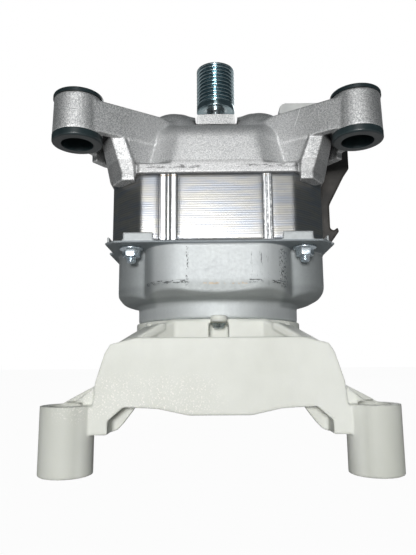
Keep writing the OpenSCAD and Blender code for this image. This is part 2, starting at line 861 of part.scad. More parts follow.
module saddle_walls() {
    intersection() {
        translate([0, 0, step_z])
            linear_extrude(height = seat_top - step_z)
                difference() {
                    saddle_plan(0);
                    saddle_plan(wall_t);
                    translate([-2 * foot_half, -2 * foot_half])
                        square([4 * foot_half, 2 * foot_half + flank_end[1] * seat_d / 2 - bite]);
                }
        saddle_side();
    }
}

// Leaning side wall from the front wall's end to the seat ring
module flank() {
    rear = seat_d / 2 * flank_end;
    hull() {
        upright(-front_wall_y + wall_t - bite, wall_t / 2)
            polygon([[foot_half - 13, step_z], [foot_half - 4, step_z], [foot_half - 4, front_wall_top - 20],
                [foot_half - 8, front_wall_top - 7.5], [foot_half - 10.5, front_wall_top - 3.6],
                [foot_half - 13, front_wall_top - 3.6]]);
        translate([rear[0] - wall_t, rear[1] - wall_t / 2, step_z])
            cube([wall_t, wall_t, seat_top - step_z - 3.5]);
        translate([rear[0] - wall_t, rear[1] + 3, step_z])
            cube([wall_t, wall_t / 2, seat_top - step_z - 0.8]);
    }
}

// Roof between a side wall and the recess
module roof() {
    hull()
        for (p = [[foot_half - 20.5, -front_wall_y + wall_t, front_wall_top - 1],
                [foot_half - 12, -front_wall_y + wall_t, front_wall_top - 4],
                [recess_half + 5.5, -recess_y - 4, seat_top - 2.5],
                [seat_d / 2 * flank_end[0] - 1, -recess_y + 13, seat_top - 3]])
            translate([p[0], p[1], p[2] - wall_t])
                cylinder(d = wall_t, h = wall_t, $fn = 24);
}

// Recess wall behind the front wall
module recess_wall() {
    outer = [[-foot_half + 20, -front_wall_y + wall_t - bite], [-recess_half, -recess_y],
        [recess_half, -recess_y], [foot_half - 20, -front_wall_y + wall_t - bite]];
    inner = [[foot_half - 16, -front_wall_y + wall_t - bite], [recess_half + 1.2, -recess_y + wall_t],
        [-recess_half - 1.2, -recess_y + wall_t], [-foot_half + 16, -front_wall_y + wall_t - bite]];
    intersection() {
        translate([0, 0, step_z])
            linear_extrude(height = seat_top - step_z) polygon(concat(outer, inner));
        saddle_side();
    }
}

module post_block() {
    // Foot, gussets and the floor that tie a post to the saddle
    upright(-front_wall_y, post_d / 2)
        polygon([[foot_half - foot_w, foot_z], [foot_half + 1, foot_z], [foot_half + 1, post_top - 1],
            [foot_half - 5, post_top - 1], [foot_half - foot_w, foot_z + 6]]);
    upright(-lug_forward + post_d / 2 - 4 - wall_t, wall_t)
        polygon([[foot_half - 24, step_z], [foot_half - 24, post_top + 4], [foot_half - 2, post_top + 9],
            [lug_x + 6, post_top - bite], [foot_half + 1, post_top - 10], [foot_half + 1, foot_z],
            [foot_half - foot_w, foot_z], [foot_half - foot_w - 2.6, foot_z + 1],
            [foot_half - foot_w - 5.5, foot_z + 4.1], [foot_half - foot_w - 8.4, foot_z + 7.8],
            [foot_half - 21, step_z]]);
    upright(-front_wall_y + wall_t, 3 * wall_t)
        polygon([[foot_half - 6, post_top - 2], [foot_half - 4.5, post_top + 9],
            [foot_half - 3.5, post_top + 9], [lug_x - 2, post_top], [lug_x - 2, post_top - 2]]);
}

module mounting_bracket() {
    color("#e6e8df")
        difference() {
            union() {
                upright(-front_wall_y, wall_t) both_sides_flat() wall_half();
                saddle_walls();
                both_sides() {
                    flank();
                    roof();
                }
                recess_wall();
                tube(seat_d / 2, seat_d / 2 - seat_w, seat_top - seat_t, seat_t);
                // Deck that closes the saddle between the front wall and the recess
                translate([0, 0, step_z])
                    linear_extrude(height = wall_t)
                        difference() {
                            intersection() {
                                saddle_plan(bite);
                                translate([-foot_half, -front_wall_y]) square([2 * foot_half, front_wall_y - 26]);
                            }
                            circle(r = cap_d / 2 + 2, $fn = 64);
                        }
                // Niche round the front bracket screw
                translate([-niche_w / 2 - wall_t, -recess_y + wall_t - bite, front_wall_top - niche_drop - wall_t])
                    cube([niche_w + 2 * wall_t, recess_y - wall_t + bite - niche_back + 2,
                        front_top + niche_drop + wall_t - bite]);
                both_sides() {
                    post_block();
                    translate([lug_x, -lug_forward, post_z])
                        cylinder(d = post_d, h = post_h, $fn = 96);
                }
            }
            both_sides()
                translate([lug_x, -lug_forward, post_z - past])
                    cylinder(d = post_bore, h = post_h + 2 * past, $fn = 96);
            at_seat_screws()
                translate([0, 0, seat_top - seat_t - past])
                    cylinder(d = seat_screw_d + 2 * hole_fit, h = seat_t + 2 * past, $fn = 48);
            // Inside of the niche, open at the front for a screwdriver
            translate([-niche_w / 2, -front_wall_y + wall_t + 1, front_wall_top - niche_drop])
                cube([niche_w, front_wall_y - wall_t - 1 - niche_back, front_top + niche_drop - seat_t]);
        }
}

module bracket_screws() {
    color("#c8ced2")
        at_seat_screws() {
            translate([0, 0, seat_top - seat_t - bite])
                cylinder(d = seat_screw_d, h = seat_t + seat_screw_grip + bite, $fn = 48);
            translate([0, 0, seat_top - seat_t - seat_head_h])
                cylinder(d1 = seat_head_d - 2.4, d2 = seat_head_d, h = seat_head_h, $fn = 48);
        }
}

// Shaft with its stepped seats
tail_end = magnet_top - magnet_t - 1;

module shaft() {
    color("#9aa0a3")
        union() {
            translate([0, 0, front_bearing_top + 1])
                cylinder(d = drive_seat_d, h = pulley_front - shaft_setback - front_bearing_top - 1, $fn = 96);
            translate([0, 0, front_bearing_bottom - bite])
                cylinder(d = front_seat_d, h = front_bearing_w + 2 * bite, $fn = 96);
            translate([0, 0, rear_bearing_top])
                cylinder(d = core_seat_d, h = front_bearing_bottom - rear_bearing_top, $fn = 96);
            translate([0, 0, rear_bearing_bottom - 1])
                cylinder(d = rear_seat_d, h = rear_bearing_w + 1 + bite, $fn = 96);
            translate([0, 0, tail_end])
                cylinder(d = tail_d, h = rear_bearing_bottom - tail_end, $fn = 96);
        }
}

module belt_pulley() {
    root_r = pulley_d / 2 - rib_depth;
    top_r = pulley_d / 2;
    first = -rib_count * rib_pitch / 2;
    color("#3f5a63")
        difference() {
            rotate_extrude($fn = 96)
                polygon(concat(
                    [[drive_seat_d / 2, pulley_back], [top_r, pulley_back], [top_r, first]],
                    [for (i = [0 : rib_count - 1], p = [0, 1, 2, 3])
                        [p == 0 || p == 3 ? root_r : top_r,
                            first + i * rib_pitch + (p == 0 ? 0.15 : p == 1 ? (rib_pitch - rib_crest) / 2
                                : p == 2 ? (rib_pitch + rib_crest) / 2 : rib_pitch - 0.15)]],
                    [[top_r, -first], [top_r, pulley_front], [drive_seat_d / 2, pulley_front]]));
            translate([0, 0, pulley_front - pulley_chamfer])
                cylinder(d1 = drive_seat_d, d2 = drive_seat_d + 2 * pulley_chamfer + 0.2,
                    h = pulley_chamfer + 0.1, $fn = 96);
        }
}

// Rotor: laminations on the shaft and the cast cage round them
bar_circle = rotor_r - bar_d / 2 - 0.8;

module bars(extra, h, z) {
    for (i = [0 : bar_count - 1])
        rotate([0, 0, i * 360 / bar_count])
            translate([bar_circle, 0, z]) cylinder(d = bar_d + extra, h = h, $fn = 24);
}

module rotor_core() {
    color("#8d9092")
        difference() {
            tube(rotor_r, core_seat_d / 2, stack_bottom, stack_len);
            bars(0, stack_len + 2 * past, stack_bottom - past);
        }
}

module rotor_cage() {
    ring_in = core_seat_d / 2 + 4;
    ring_out = rotor_r - 0.4;
    color("#bfc2c4")
        union() {
            bars(0, stack_len + 2 * bite, stack_bottom - bite);
            tube(ring_out, ring_in, stack_top, end_ring_t);
            tube(ring_out, ring_in, stack_bottom - end_ring_t, end_ring_t);
            for (i = [0 : blade_count - 1], low = [0, 1])
                rotate([0, 0, i * 360 / blade_count])
                    translate([ring_in + 2, -1,
                        low == 1 ? stack_bottom - end_ring_t - blade_h : stack_top + end_ring_t - bite])
                        cube([ring_out - ring_in - 3, 2, blade_h + bite]);
        }
}

// Ball bearings: rings, balls, cage and shields
shoulder_share = 0.28;
groove_fit = 0.05;

module outer_ring(od, pitch_d, ball_d, z, w) {
    inner = pitch_d / 2 + shoulder_share * ball_d;
    translate([0, 0, z])
        rotate_extrude($fn = 96)
            difference() {
                translate([inner, 0]) square([od / 2 - inner, w]);
                translate([pitch_d / 2, w / 2]) circle(r = ball_d / 2 + groove_fit, $fn = 48);
            }
}

module inner_ring(bore, pitch_d, ball_d, z, w) {
    outer = pitch_d / 2 - shoulder_share * ball_d;
    translate([0, 0, z])
        rotate_extrude($fn = 96)
            difference() {
                translate([bore / 2, 0]) square([outer - bore / 2, w]);
                translate([pitch_d / 2, w / 2]) circle(r = ball_d / 2 + groove_fit, $fn = 48);
            }
}

module ball_set(pitch_d, ball_d, z) {
    for (i = [0 : ball_count - 1])
        rotate([0, 0, i * 360 / ball_count])
            translate([pitch_d / 2, 0, z]) sphere(d = ball_d, $fn = 48);
}

module ball_cage(pitch_d, ball_d, z) {
    half = ball_d / 2 + 0.7;
    difference() {
        tube(pitch_d / 2 + 0.7, pitch_d / 2 - 0.7, z - half, 2 * half);
        for (i = [0 : ball_count - 1])
            rotate([0, 0, i * 360 / ball_count])
                translate([pitch_d / 2 - 4, 0, z])
                    rotate([0, 90, 0]) cylinder(r = ball_d / 2 + 0.08, h = 8, $fn = 48);
    }
}

module shield_pair(pitch_d, ball_d, z, w) {
    outer = pitch_d / 2 + shoulder_share * ball_d;
    inner = pitch_d / 2 - shoulder_share * ball_d + run_gap;
    tube(outer, inner, z + 0.2, shield_t);
    tube(outer, inner, z + w - 0.2 - shield_t, shield_t);
}

module front_outer_ring() {
    color("#b4b8ba")
        outer_ring(front_bearing_od, front_pitch_d, front_ball_d, front_bearing_bottom, front_bearing_w);
}

module front_inner_ring() {
    color("#b4b8ba")
        inner_ring(front_seat_d, front_pitch_d, front_ball_d, front_bearing_bottom, front_bearing_w);
}

module front_balls() {
    color("#d8dadc")
        ball_set(front_pitch_d, front_ball_d, front_bearing_bottom + front_bearing_w / 2);
}

module front_ball_cage() {
    color("#c9a24a")
        ball_cage(front_pitch_d, front_ball_d, front_bearing_bottom + front_bearing_w / 2);
}

module front_shields() {
    color("#9ea3a6")
        shield_pair(front_pitch_d, front_ball_d, front_bearing_bottom, front_bearing_w);
}

module bearing_circlip() {
    color("#3a3d40")
        difference() {
            tube(front_bearing_od / 2 + 1, front_bearing_od / 2 - 2.5, front_bearing_bottom - circlip_t, circlip_t);
            translate([0, -3, front_bearing_bottom - 2 * circlip_t])
                cube([front_bearing_od, 6, 3 * circlip_t]);
        }
}

module rear_outer_ring() {
    color("#b4b8ba")
        outer_ring(rear_bearing_od, rear_pitch_d, rear_ball_d, rear_bearing_bottom, rear_bearing_w);
}

module rear_inner_ring() {
    color("#b4b8ba")
        inner_ring(rear_seat_d, rear_pitch_d, rear_ball_d, rear_bearing_bottom, rear_bearing_w);
}

module rear_balls() {
    color("#d8dadc")
        ball_set(rear_pitch_d, rear_ball_d, rear_bearing_bottom + rear_bearing_w / 2);
}

module rear_ball_cage() {
    color("#c9a24a")
        ball_cage(rear_pitch_d, rear_ball_d, rear_bearing_bottom + rear_bearing_w / 2);
}

module rear_shields() {
    color("#9ea3a6")
        shield_pair(rear_pitch_d, rear_ball_d, rear_bearing_bottom, rear_bearing_w);
}

module wave_washer() {
    color("#6f7478")
        tube(rear_bearing_od / 2 - 0.3, rear_bearing_od / 2 - 3.5, seat_top + sheet_t, wave_h);
}

// Speed sensor under the rear cover
module tacho_magnet() {
    color("#4a4c4e")
        tube(magnet_d / 2, tail_d / 2, magnet_top - magnet_t, magnet_t);
}

coil_in = magnet_d / 2 + sensor_gap;
cap_depth = magnet_gap + magnet_t + 3 + cap_wall;

module tacho_coil() {
    color("#a8562c")
        tube(coil_in + coil_w, coil_in, magnet_top - magnet_t - 1, magnet_t + 2);
}

module tacho_cap() {
    coil_floor = magnet_top - magnet_t - 1;
    color("#2d2f31")
        union() {
            tube(cap_d / 2, cap_d / 2 - cap_wall, seat_top - cap_depth, cap_depth);
            translate([0, 0, seat_top - cap_depth]) cylinder(d = cap_d, h = cap_wall, $fn = 96);
            tube(cap_d / 2 - cap_wall + bite, coil_in, seat_top - cap_depth,
                coil_floor - seat_top + cap_depth);
        }
}

// Terminals: lead duct, connector housing, pins and leads
duct_inner = rim_half + run_gap;
duct_stack = stack_half + run_gap;
duct_top = arm_top;
duct_lower = stack_top - skirt_drop - 0.6;
duct_bottom = stack_bottom + 7;
lead_z = rim_top + 7;
duct_depth = 9.3;
duct_flare = 20;

// Side view of the duct, in X and Z
module duct_outline() {
    foot_x = duct_stack + duct_depth;
    brow_x = duct_inner + duct_flare;
    polygon([[duct_inner, duct_top], [brow_x, duct_top], [brow_x, duct_top - 17.5],
        [brow_x - 3.4, duct_top - 22.5], [foot_x + 1, duct_lower + 1.2], [foot_x, duct_lower - 1],
        [foot_x, duct_bottom + 8.7], [foot_x + 2, duct_bottom + 7.5], [foot_x + 4.4, duct_bottom + 9.5],
        [foot_x + 4.9, duct_bottom + 6.8], [foot_x, duct_bottom], [duct_stack, duct_bottom],
        [duct_stack, duct_lower], [duct_inner, duct_lower]]);
}

module lead_duct() {
    color("#2b2a27")
        difference() {
            upright(-duct_front, duct_w) duct_outline();
            upright(-duct_front + duct_wall, duct_w)
                polygon([[duct_inner + duct_wall, duct_top + past],
                    [duct_inner + duct_flare - duct_wall, duct_top + past],
                    [duct_inner + duct_flare - duct_wall, duct_top - 17],
                    [duct_inner + duct_flare - 3.4 - duct_wall, duct_top - 21.5],
                    [duct_stack + duct_depth - duct_wall, duct_lower + 1],
                    [duct_stack + duct_depth - duct_wall, duct_bottom + duct_wall],
                    [duct_stack + duct_wall, duct_bottom + duct_wall],
                    [duct_stack + duct_wall, duct_lower],
                    [duct_inner + duct_wall, duct_lower]]);
            translate([duct_inner - past, duct_mid, lead_z])
                rotate([0, 90, 0])
                    cylinder(d = bundle_d + 1, h = duct_wall + 2 * past, $fn = 48);
            duct_screw_holes();
        }
}

duct_screw_y = [duct_mid - duct_screw_spread / 2, duct_mid + duct_screw_spread / 2];
duct_screw_z = rim_top - duct_screw_drop;

module duct_screw_holes() {
    for (y = duct_screw_y)
        translate([rim_half - duct_screw_grip - 0.5, y, duct_screw_z])
            rotate([0, 90, 0])
                cylinder(d = duct_screw_d, h = duct_screw_grip + duct_wall + 2, $fn = 32);
}

module duct_screws() {
    color("#c8ced2")
        for (y = duct_screw_y)
            translate([rim_half - duct_screw_grip, y, duct_screw_z])
                rotate([0, 90, 0]) {
                    cylinder(d = duct_screw_d, h = duct_screw_grip + run_gap + duct_wall + bite, $fn = 32);
                    translate([0, 0, duct_screw_grip + run_gap + duct_wall])
                        cylinder(d = 1.8 * duct_screw_d, h = duct_head_h, $fn = 32);
                }
}

housing_z = duct_top;
housing_right = duct_inner + duct_flare - 3;
housing_left = housing_right - housing_w;
housing_y = housing_inset - duct_front;
housing_depth = duct_w - housing_inset - 2;

module connector_housing() {
    color("#c6c8c4")
        difference() {
            upright(housing_y, housing_depth)
                intersection() {
                    translate([(housing_left + housing_right) / 2, housing_z + housing_h / 2 - housing_round / 2])
                        round_rect(housing_w, housing_h + housing_round, housing_round);
                    translate([housing_left - past, housing_z]) square([housing_w + 2 * past, housing_h]);
                }
            // Socket that opens to the rear
            translate([housing_left + housing_wall, housing_y + socket_floor, housing_z + housing_wall])
                cube([housing_w - 2 * housing_wall, housing_depth, housing_h - 2 * housing_wall]);
            translate([duct_inner + duct_wall + bundle_d / 2 + 1, duct_mid, housing_z - past])
                cylinder(d = bundle_d, h = housing_wall + lead_rise + 2 * past, $fn = 48);
            for (i = [0 : pin_count - 1])
                translate([pin_x(i) - pin_w / 2, housing_y + pin_root, pin_z - pin_t / 2])
                    cube([pin_w, socket_floor - pin_root + past, pin_t]);
        }
}

function pin_x(i) = (housing_left + housing_right) / 2 + (i - (pin_count - 1) / 2) * pin_pitch;
pin_z = housing_z + housing_h / 2 + 2;

module connector_pins() {
    color("#c9c2a0")
        for (i = [0 : pin_count - 1])
            translate([pin_x(i) - pin_w / 2, housing_y + pin_root, pin_z - pin_t / 2])
                cube([pin_w, housing_depth - pin_root - pin_back, pin_t]);
}

// Leads from the winding through the dome's window and up the duct
module lead_bundle() {
    start = slot_outer + 0.6;
    rise_x = duct_inner + duct_wall + bundle_d / 2 + 1;
    color("#d9d5c8")
        translate([0, duct_mid, 0]) {
            translate([start, 0, lead_z])
                rotate([0, 90, 0]) cylinder(d = bundle_d, h = rise_x - start, $fn = 48);
            translate([rise_x, 0, lead_z]) sphere(d = bundle_d, $fn = 48);
            translate([rise_x, 0, lead_z])
                cylinder(d = bundle_d, h = housing_z + housing_wall + lead_rise - lead_z, $fn = 48);
        }
}

front_endshield();
left_bush();
right_bush();
stator_core();
slot_liners();
stator_winding();
thermal_protector();
rear_cover();
tie_rods();
flange_nuts();
mounting_bracket();
bracket_screws();
shaft();
belt_pulley();
rotor_core();
rotor_cage();
front_outer_ring();
front_inner_ring();
front_balls();
front_ball_cage();
front_shields();
bearing_circlip();
rear_outer_ring();
rear_inner_ring();
rear_balls();
rear_ball_cage();
rear_shields();
wave_washer();
tacho_magnet();
tacho_coil();
tacho_cap();
lead_duct();
duct_screws();
connector_housing();
connector_pins();
lead_bundle();
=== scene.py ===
import math

import bmesh
import bpy
from mathutils import Matrix, Vector, noise


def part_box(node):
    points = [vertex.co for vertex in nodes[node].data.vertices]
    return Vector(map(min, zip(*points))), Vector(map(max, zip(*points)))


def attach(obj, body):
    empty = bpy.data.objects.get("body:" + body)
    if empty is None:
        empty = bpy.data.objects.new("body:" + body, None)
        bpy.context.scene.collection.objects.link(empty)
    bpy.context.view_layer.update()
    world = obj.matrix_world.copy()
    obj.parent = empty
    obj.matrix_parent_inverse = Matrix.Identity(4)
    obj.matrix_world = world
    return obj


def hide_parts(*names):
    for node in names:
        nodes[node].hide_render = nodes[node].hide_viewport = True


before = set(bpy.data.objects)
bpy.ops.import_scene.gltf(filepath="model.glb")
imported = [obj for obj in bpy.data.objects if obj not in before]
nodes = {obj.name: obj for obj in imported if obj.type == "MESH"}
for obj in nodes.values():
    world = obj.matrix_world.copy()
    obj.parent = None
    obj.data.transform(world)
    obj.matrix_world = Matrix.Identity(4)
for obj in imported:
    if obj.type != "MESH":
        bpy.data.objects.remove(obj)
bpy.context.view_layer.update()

MM = 0.001
X, Y, Z = 0, 1, 2


def box_mm(node):
    """A CAD node's lowest and highest corners, in millimetres."""
    return [[c / MM for c in corner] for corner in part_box(node)]


# Sizes of the ribs, nuts and rods, in millimetres
RIB_PITCH = 2.34
RIB_COUNT = 10
RIB_DEPTH = 1.9
PULLEY_BORE_R = 5.0
NUT_ACROSS = 8.0
NUT_FLANGE_D = 11.8
NUT_FLANGE_T = 1.1
ROD_D = 5.0
ROD_PITCH = 0.8

# Places that the pieces below share with the CAD, in millimetres
pulley_low, pulley_high = box_mm("belt_pulley")
stack_low, stack_high = box_mm("stator_core")
nuts_low, nuts_high = box_mm("flange_nuts")
rods_low, rods_high = box_mm("tie_rods")
bracket_low, bracket_high = box_mm("mounting_bracket")
PULLEY_R = pulley_high[X]
PULLEY_BOTTOM, PULLEY_TOP = pulley_low[Z], pulley_high[Z]
STACK_HALF = stack_high[X]
STACK_BOTTOM, STACK_TOP = stack_low[Z], stack_high[Z]
FLANGE_BOTTOM = nuts_high[Z]
NUT_HEIGHT = nuts_high[Z] - nuts_low[Z]
ROD_PLACE = rods_high[X] - ROD_D / 2
ROD_BOTTOM, ROD_TOP = rods_low[Z], rods_high[Z] + 0.4
SADDLE_TOP = bracket_high[Z]


def math_node(nt, op, a, b=0.0):
    """A Math node on two values, each a number or another node's output."""
    n = nt.nodes.new("ShaderNodeMath")
    n.operation = op
    for slot, value in ((0, a), (1, b)):
        if isinstance(value, (int, float)):
            n.inputs[slot].default_value = value
        else:
            nt.links.new(value, n.inputs[slot])
    return n.outputs[0]


def ramp_node(nt, fac, stops):
    """A colour ramp on a value. Each stop is a position and a grey or a colour."""
    n = nt.nodes.new("ShaderNodeValToRGB")
    e = n.color_ramp.elements
    while len(e) < len(stops):
        e.new(0.5)
    for item, (at, c) in zip(e, stops):
        item.position = at
        item.color = (c, c, c, 1) if isinstance(c, (int, float)) else (*c, 1)
    nt.links.new(fac, n.inputs["Fac"])
    return n.outputs["Color"]


# Node materials
# Sockets of a Mix node that mixes colours
MIX_FACTOR, MIX_A, MIX_B, MIX_RESULT = 0, 6, 7, 2


class Paint:
    """A Principled material with small helpers for its procedural nodes."""

    def __init__(self, name, metal=0.0, spec=0.5, edge=1.0):
        self.mat = bpy.data.materials.new(name)
        self.mat.use_nodes = True
        self.nt = self.mat.node_tree
        self.shader = self.nt.nodes["Principled BSDF"]
        self.shader.inputs["Metallic"].default_value = metal
        self.shader.inputs["Specular IOR Level"].default_value = spec
        self.shader.inputs["Specular Tint"].default_value = (edge, edge, edge, 1)
        self.coord = self.nt.nodes.new("ShaderNodeTexCoord")

    def link(self, a, b):
        self.nt.links.new(a, b)

    def node(self, kind, **values):
        n = self.nt.nodes.new(kind)
        for k, v in values.items():
            setattr(n, k, v)
        return n

    def noise(self, scale, detail=3.0, rough=0.5, stretch=(1, 1, 1)):
        """Noise with a scale per metre, times the stretch along each axis."""
        place = self.node("ShaderNodeMapping")
        place.inputs["Scale"].default_value = stretch
        self.link(self.coord.outputs["Object"], place.inputs["Vector"])
        n = self.node("ShaderNodeTexNoise")
        n.inputs["Scale"].default_value = scale
        n.inputs["Detail"].default_value = detail
        n.inputs["Roughness"].default_value = rough
        self.link(place.outputs[0], n.inputs["Vector"])
        return n.outputs["Fac"]

    def math(self, op, a, b=0.0):
        return math_node(self.nt, op, a, b)

    def both(self, a, b):
        return self.math("MULTIPLY", a, b)

    def either(self, a, b):
        return self.math("MAXIMUM", a, b)

    def ramp(self, fac, stops):
        return ramp_node(self.nt, fac, stops)

    def spots(self, low, high, *noise_values):
        """0 where a noise is below low, rising to 1 where it is above high."""
        return self.ramp(self.noise(*noise_values), [(low, 0.0), (high, 1.0)])

    def mix(self, fac, a, b, mode="MIX"):
        n = self.node("ShaderNodeMix", data_type="RGBA", blend_type=mode)
        for slot, value in ((MIX_FACTOR, fac), (MIX_A, a), (MIX_B, b)):
            if isinstance(value, (int, float)):
                n.inputs[slot].default_value = value if slot == MIX_FACTOR else (value, value, value, 1)
            elif isinstance(value, tuple):
                n.inputs[slot].default_value = (*value, 1)
            else:
                self.link(value, n.inputs[slot])
        return n.outputs[MIX_RESULT]

    def shade(self, colour, share, fac, stops):
        """The colour multiplied by a ramp, by a share."""
        return self.mix(share, colour, self.ramp(fac, stops), "MULTIPLY")

    def tone(self, colour, mask, share, target):
        """The colour mixed by a share with the target where the mask is 1."""
        return self.mix(self.both(mask, share), colour, target)

    def axis(self, which):
        n = self.node("ShaderNodeSeparateXYZ")
        self.link(self.coord.outputs["Object"], n.inputs[0])
        return n.outputs[which]

    def band(self, value, low, high, soft):
        """1 between low and high in millimetres, falling to 0 over soft on both sides."""
        up = self.node("ShaderNodeMapRange", interpolation_type="SMOOTHSTEP")
        up.inputs["From Min"].default_value = (low - soft) * MM
        up.inputs["From Max"].default_value = low * MM
        self.link(value, up.inputs["Value"])
        down = self.node("ShaderNodeMapRange", interpolation_type="SMOOTHSTEP")
        down.inputs["From Min"].default_value = high * MM
        down.inputs["From Max"].default_value = (high + soft) * MM
        down.inputs["To Min"].default_value = 1
        down.inputs["To Max"].default_value = 0
        self.link(value, down.inputs["Value"])
        return self.both(up.outputs[0], down.outputs[0])

    def zone(self, which, low, high, soft):
        """A band along one axis of the CAD frame."""
        return self.band(self.axis(which), low, high, soft)

    def sides(self, low, high, soft):
        """The same band along X on the left and on the right."""
        return self.either(self.zone(X, -high, -low, soft), self.zone(X, low, high, soft))

    def highlit_edges(self, low=0.52, high=0.60):
        """1 on sharp outer edges, from the mesh's own shape, where highlights are painted."""
        g = self.node("ShaderNodeNewGeometry")
        return self.ramp(g.outputs["Pointiness"], [(low, 0.0), (high, 1.0)])

    def hollows(self, low=0.40, high=0.48):
        """1 in sharp inner corners, where shade is painted."""
        g = self.node("ShaderNodeNewGeometry")
        return self.ramp(g.outputs["Pointiness"], [(low, 1.0), (high, 0.0)])

    def lines(self, which, period, warp):
        """A wave of 0 to 1 along one axis with a period in millimetres, bent by a slow noise."""
        turn = self.math("MULTIPLY", self.axis(which), 2 * math.pi / (period * MM))
        turn = self.math("ADD", turn, self.math("MULTIPLY", self.noise(60, 2), warp))
        return self.math("MULTIPLY", self.math("ADD", self.math("SINE", turn), 1.0), 0.5)

    def rounded(self, radius):
        """Normals that run round the edges, as wide as a radius in millimetres."""
        n = self.node("ShaderNodeBevel", samples=8)
        n.inputs["Radius"].default_value = radius * MM
        return n.outputs["Normal"]

    def bump(self, height, strength, distance, under=None):
        """A bump as high as a distance in millimetres, on top of another one where it is given."""
        n = self.node("ShaderNodeBump")
        n.inputs["Strength"].default_value = strength
        n.inputs["Distance"].default_value = distance * MM
        self.link(height, n.inputs["Height"])
        if under is not None:
            self.link(under, n.inputs["Normal"])
        return n.outputs["Normal"]

    def finish(self, colour, rough, normal):
        for name, value in (("Base Color", colour), ("Roughness", rough), ("Normal", normal)):
            self.link(value, self.shader.inputs[name])
        return self.mat


def cast_painted_light(p, colour):
    """Painted light and shade on the casting: a painted highlight on the dome's middle and painted shade on
    the right arm, and the rim over the stack darker.
    """
    # Painted shade on the right arm
    right_arm = p.zone(X, 42, 130, 6)
    colour = p.tone(colour, right_arm, 0.22, (0.25, 0.25, 0.25))
    # Painted highlight on the dome's middle
    dome_middle = p.both(p.zone(X, -36, 36, 14), p.zone(Z, -69, -43, 9))
    colour = p.tone(colour, dome_middle, 0.34, (1.0, 1.0, 1.0))
    rim_over_stack = p.zone(Z, -76, -69, 0.6)
    return p.tone(colour, rim_over_stack, 0.38, (0.36, 0.36, 0.36))


def cast_marks(p, colour):
    """Painted highlights on the boss's corners, the dark parting line round the rim and a scratch on the
    right arm.
    """
    # Painted highlights on the boss's corners
    corners = p.both(p.sides(10.9, 11.4, 0.2), p.zone(Z, -37.2, -20.0, 0.3))
    colour = p.mix(p.both(corners, p.zone(Y, -12.5, 12.5, 0.2)), colour, (1.0, 1.0, 1.0))
    parting = p.both(p.zone(Z, -72.8, -71.6, 0.6), p.spots(0.50, 0.56, 1, 4, 0.8, (260, 260, 900)))
    beside_middle = p.either(p.zone(X, -34, -11, 4), p.zone(X, 13, 40, 4))
    colour = p.tone(colour, p.both(parting, beside_middle), 0.8, (0.10, 0.10, 0.10))
    slope = p.math("SUBTRACT", p.axis(Z), p.math("MULTIPLY", p.axis(X), 3.0))
    scratch = p.both(p.band(slope, -170.2, -169.6, 0.4), p.zone(Z, -50, -41, 1))
    return p.mix(scratch, colour, (1.0, 1.0, 1.0))


def cast_aluminium():
    """Cast alloy: a coarse sparkling grain, painted highlights on its sharp edges and painted shade in its
    inner corners.
    """
    p = Paint("cast_aluminium", metal=1.0, edge=0.30)
    speckle = p.mix(0.4, p.noise(1700, 1, 0.5), p.noise(3200, 1, 0.5))
    cloud = p.noise(45, 4, 0.6)
    dark, middle, light = (0.40, 0.41, 0.415), (0.66, 0.665, 0.665), (0.94, 0.94, 0.93)
    colour = p.ramp(speckle, [(0.36, dark), (0.5, middle), (0.62, light)])
    colour = p.shade(colour, 0.4, cloud, [(0.35, 0.72), (0.65, 1.0)])
    # Painted highlights on sharp outer edges
    colour = p.tone(colour, p.highlit_edges(), 0.8, (0.90, 0.90, 0.89))
    # Painted shade in sharp inner corners
    colour = p.tone(colour, p.hollows(), 0.6, (0.14, 0.145, 0.145))
    # Painted light and shade first, then the casting's marks
    colour = cast_marks(p, cast_painted_light(p, colour))
    rough = p.ramp(speckle, [(0.35, 0.68), (0.65, 0.57)])
    return p.finish(colour, rough, p.bump(speckle, 0.8, 0.2, p.bump(cloud, 0.2, 0.6)))


def stack_steel():
    """Punched sheets: fine level lines with a faint beige and blue tint."""
    p = Paint("stack_steel", metal=0.9)
    sheets = p.noise(1, 2, 0.6, (10, 10, 2300))
    bands = p.lines(Z, 1.18, 0.5)
    tint = p.noise(1, 3, 0.6, (60, 60, 420))
    patches = p.noise(70, 4, 0.6, (1, 1, 2.5))
    blue, grey, beige = (0.33, 0.35, 0.385), (0.37, 0.37, 0.37), (0.41, 0.40, 0.37)
    colour = p.ramp(tint, [(0.36, blue), (0.5, grey), (0.64, beige)])
    colour = p.shade(colour, 0.3, sheets, [(0.32, 0.70), (0.56, 1.0)])
    colour = p.shade(colour, 0.35, bands, [(0.1, 0.6), (0.6, 1.0)])
    # Small black marks, such as a weld's splashes leave
    splashes = p.spots(0.70, 0.74, 1, 3, 0.7, (380, 380, 900))
    colour = p.tone(colour, splashes, 0.7, (0.10, 0.10, 0.10))
    rough = p.ramp(patches, [(0.35, 0.33), (0.65, 0.29)])
    return p.finish(colour, rough, p.bump(sheets, 0.12, 0.08, p.bump(bands, 0.12, 0.1, p.rounded(3.5))))


def press_scuffs(p):
    """A mask of the black scuffs on the cup's wall, such as a press leaves."""
    x = p.axis(X)
    # A level row of dashes low on the wall, in three stretches
    dashes = p.both(p.zone(Z, -131.1, -129.9, 0.6), p.spots(0.50, 0.54, 1, 4, 0.8, (330, 330, 1400)))
    right = p.either(p.band(x, 15.5, 21.5, 1), p.band(x, 27.0, 33.0, 1))
    marks = p.both(dashes, p.either(p.band(x, -36.0, -15.5, 2), right))
    # Upright dots at the front face's left edge, then streaks and dots to the right of it
    dots = p.spots(0.54, 0.58, 1, 3, 0.8, (1500, 300, 700))
    streaks = p.spots(0.60, 0.66, 1, 4, 0.8, (900, 300, 90))
    marks = p.either(marks, p.both(p.band(x, -15.7, -14.9, 0.4), dots))
    marks = p.either(marks, p.both(p.band(x, 16.5, 24.5, 2), streaks))
    marks = p.either(marks, p.both(p.band(x, 31.0, 34.5, 1), dots))
    return p.both(marks, p.zone(Z, -132.5, -113.5, 1))


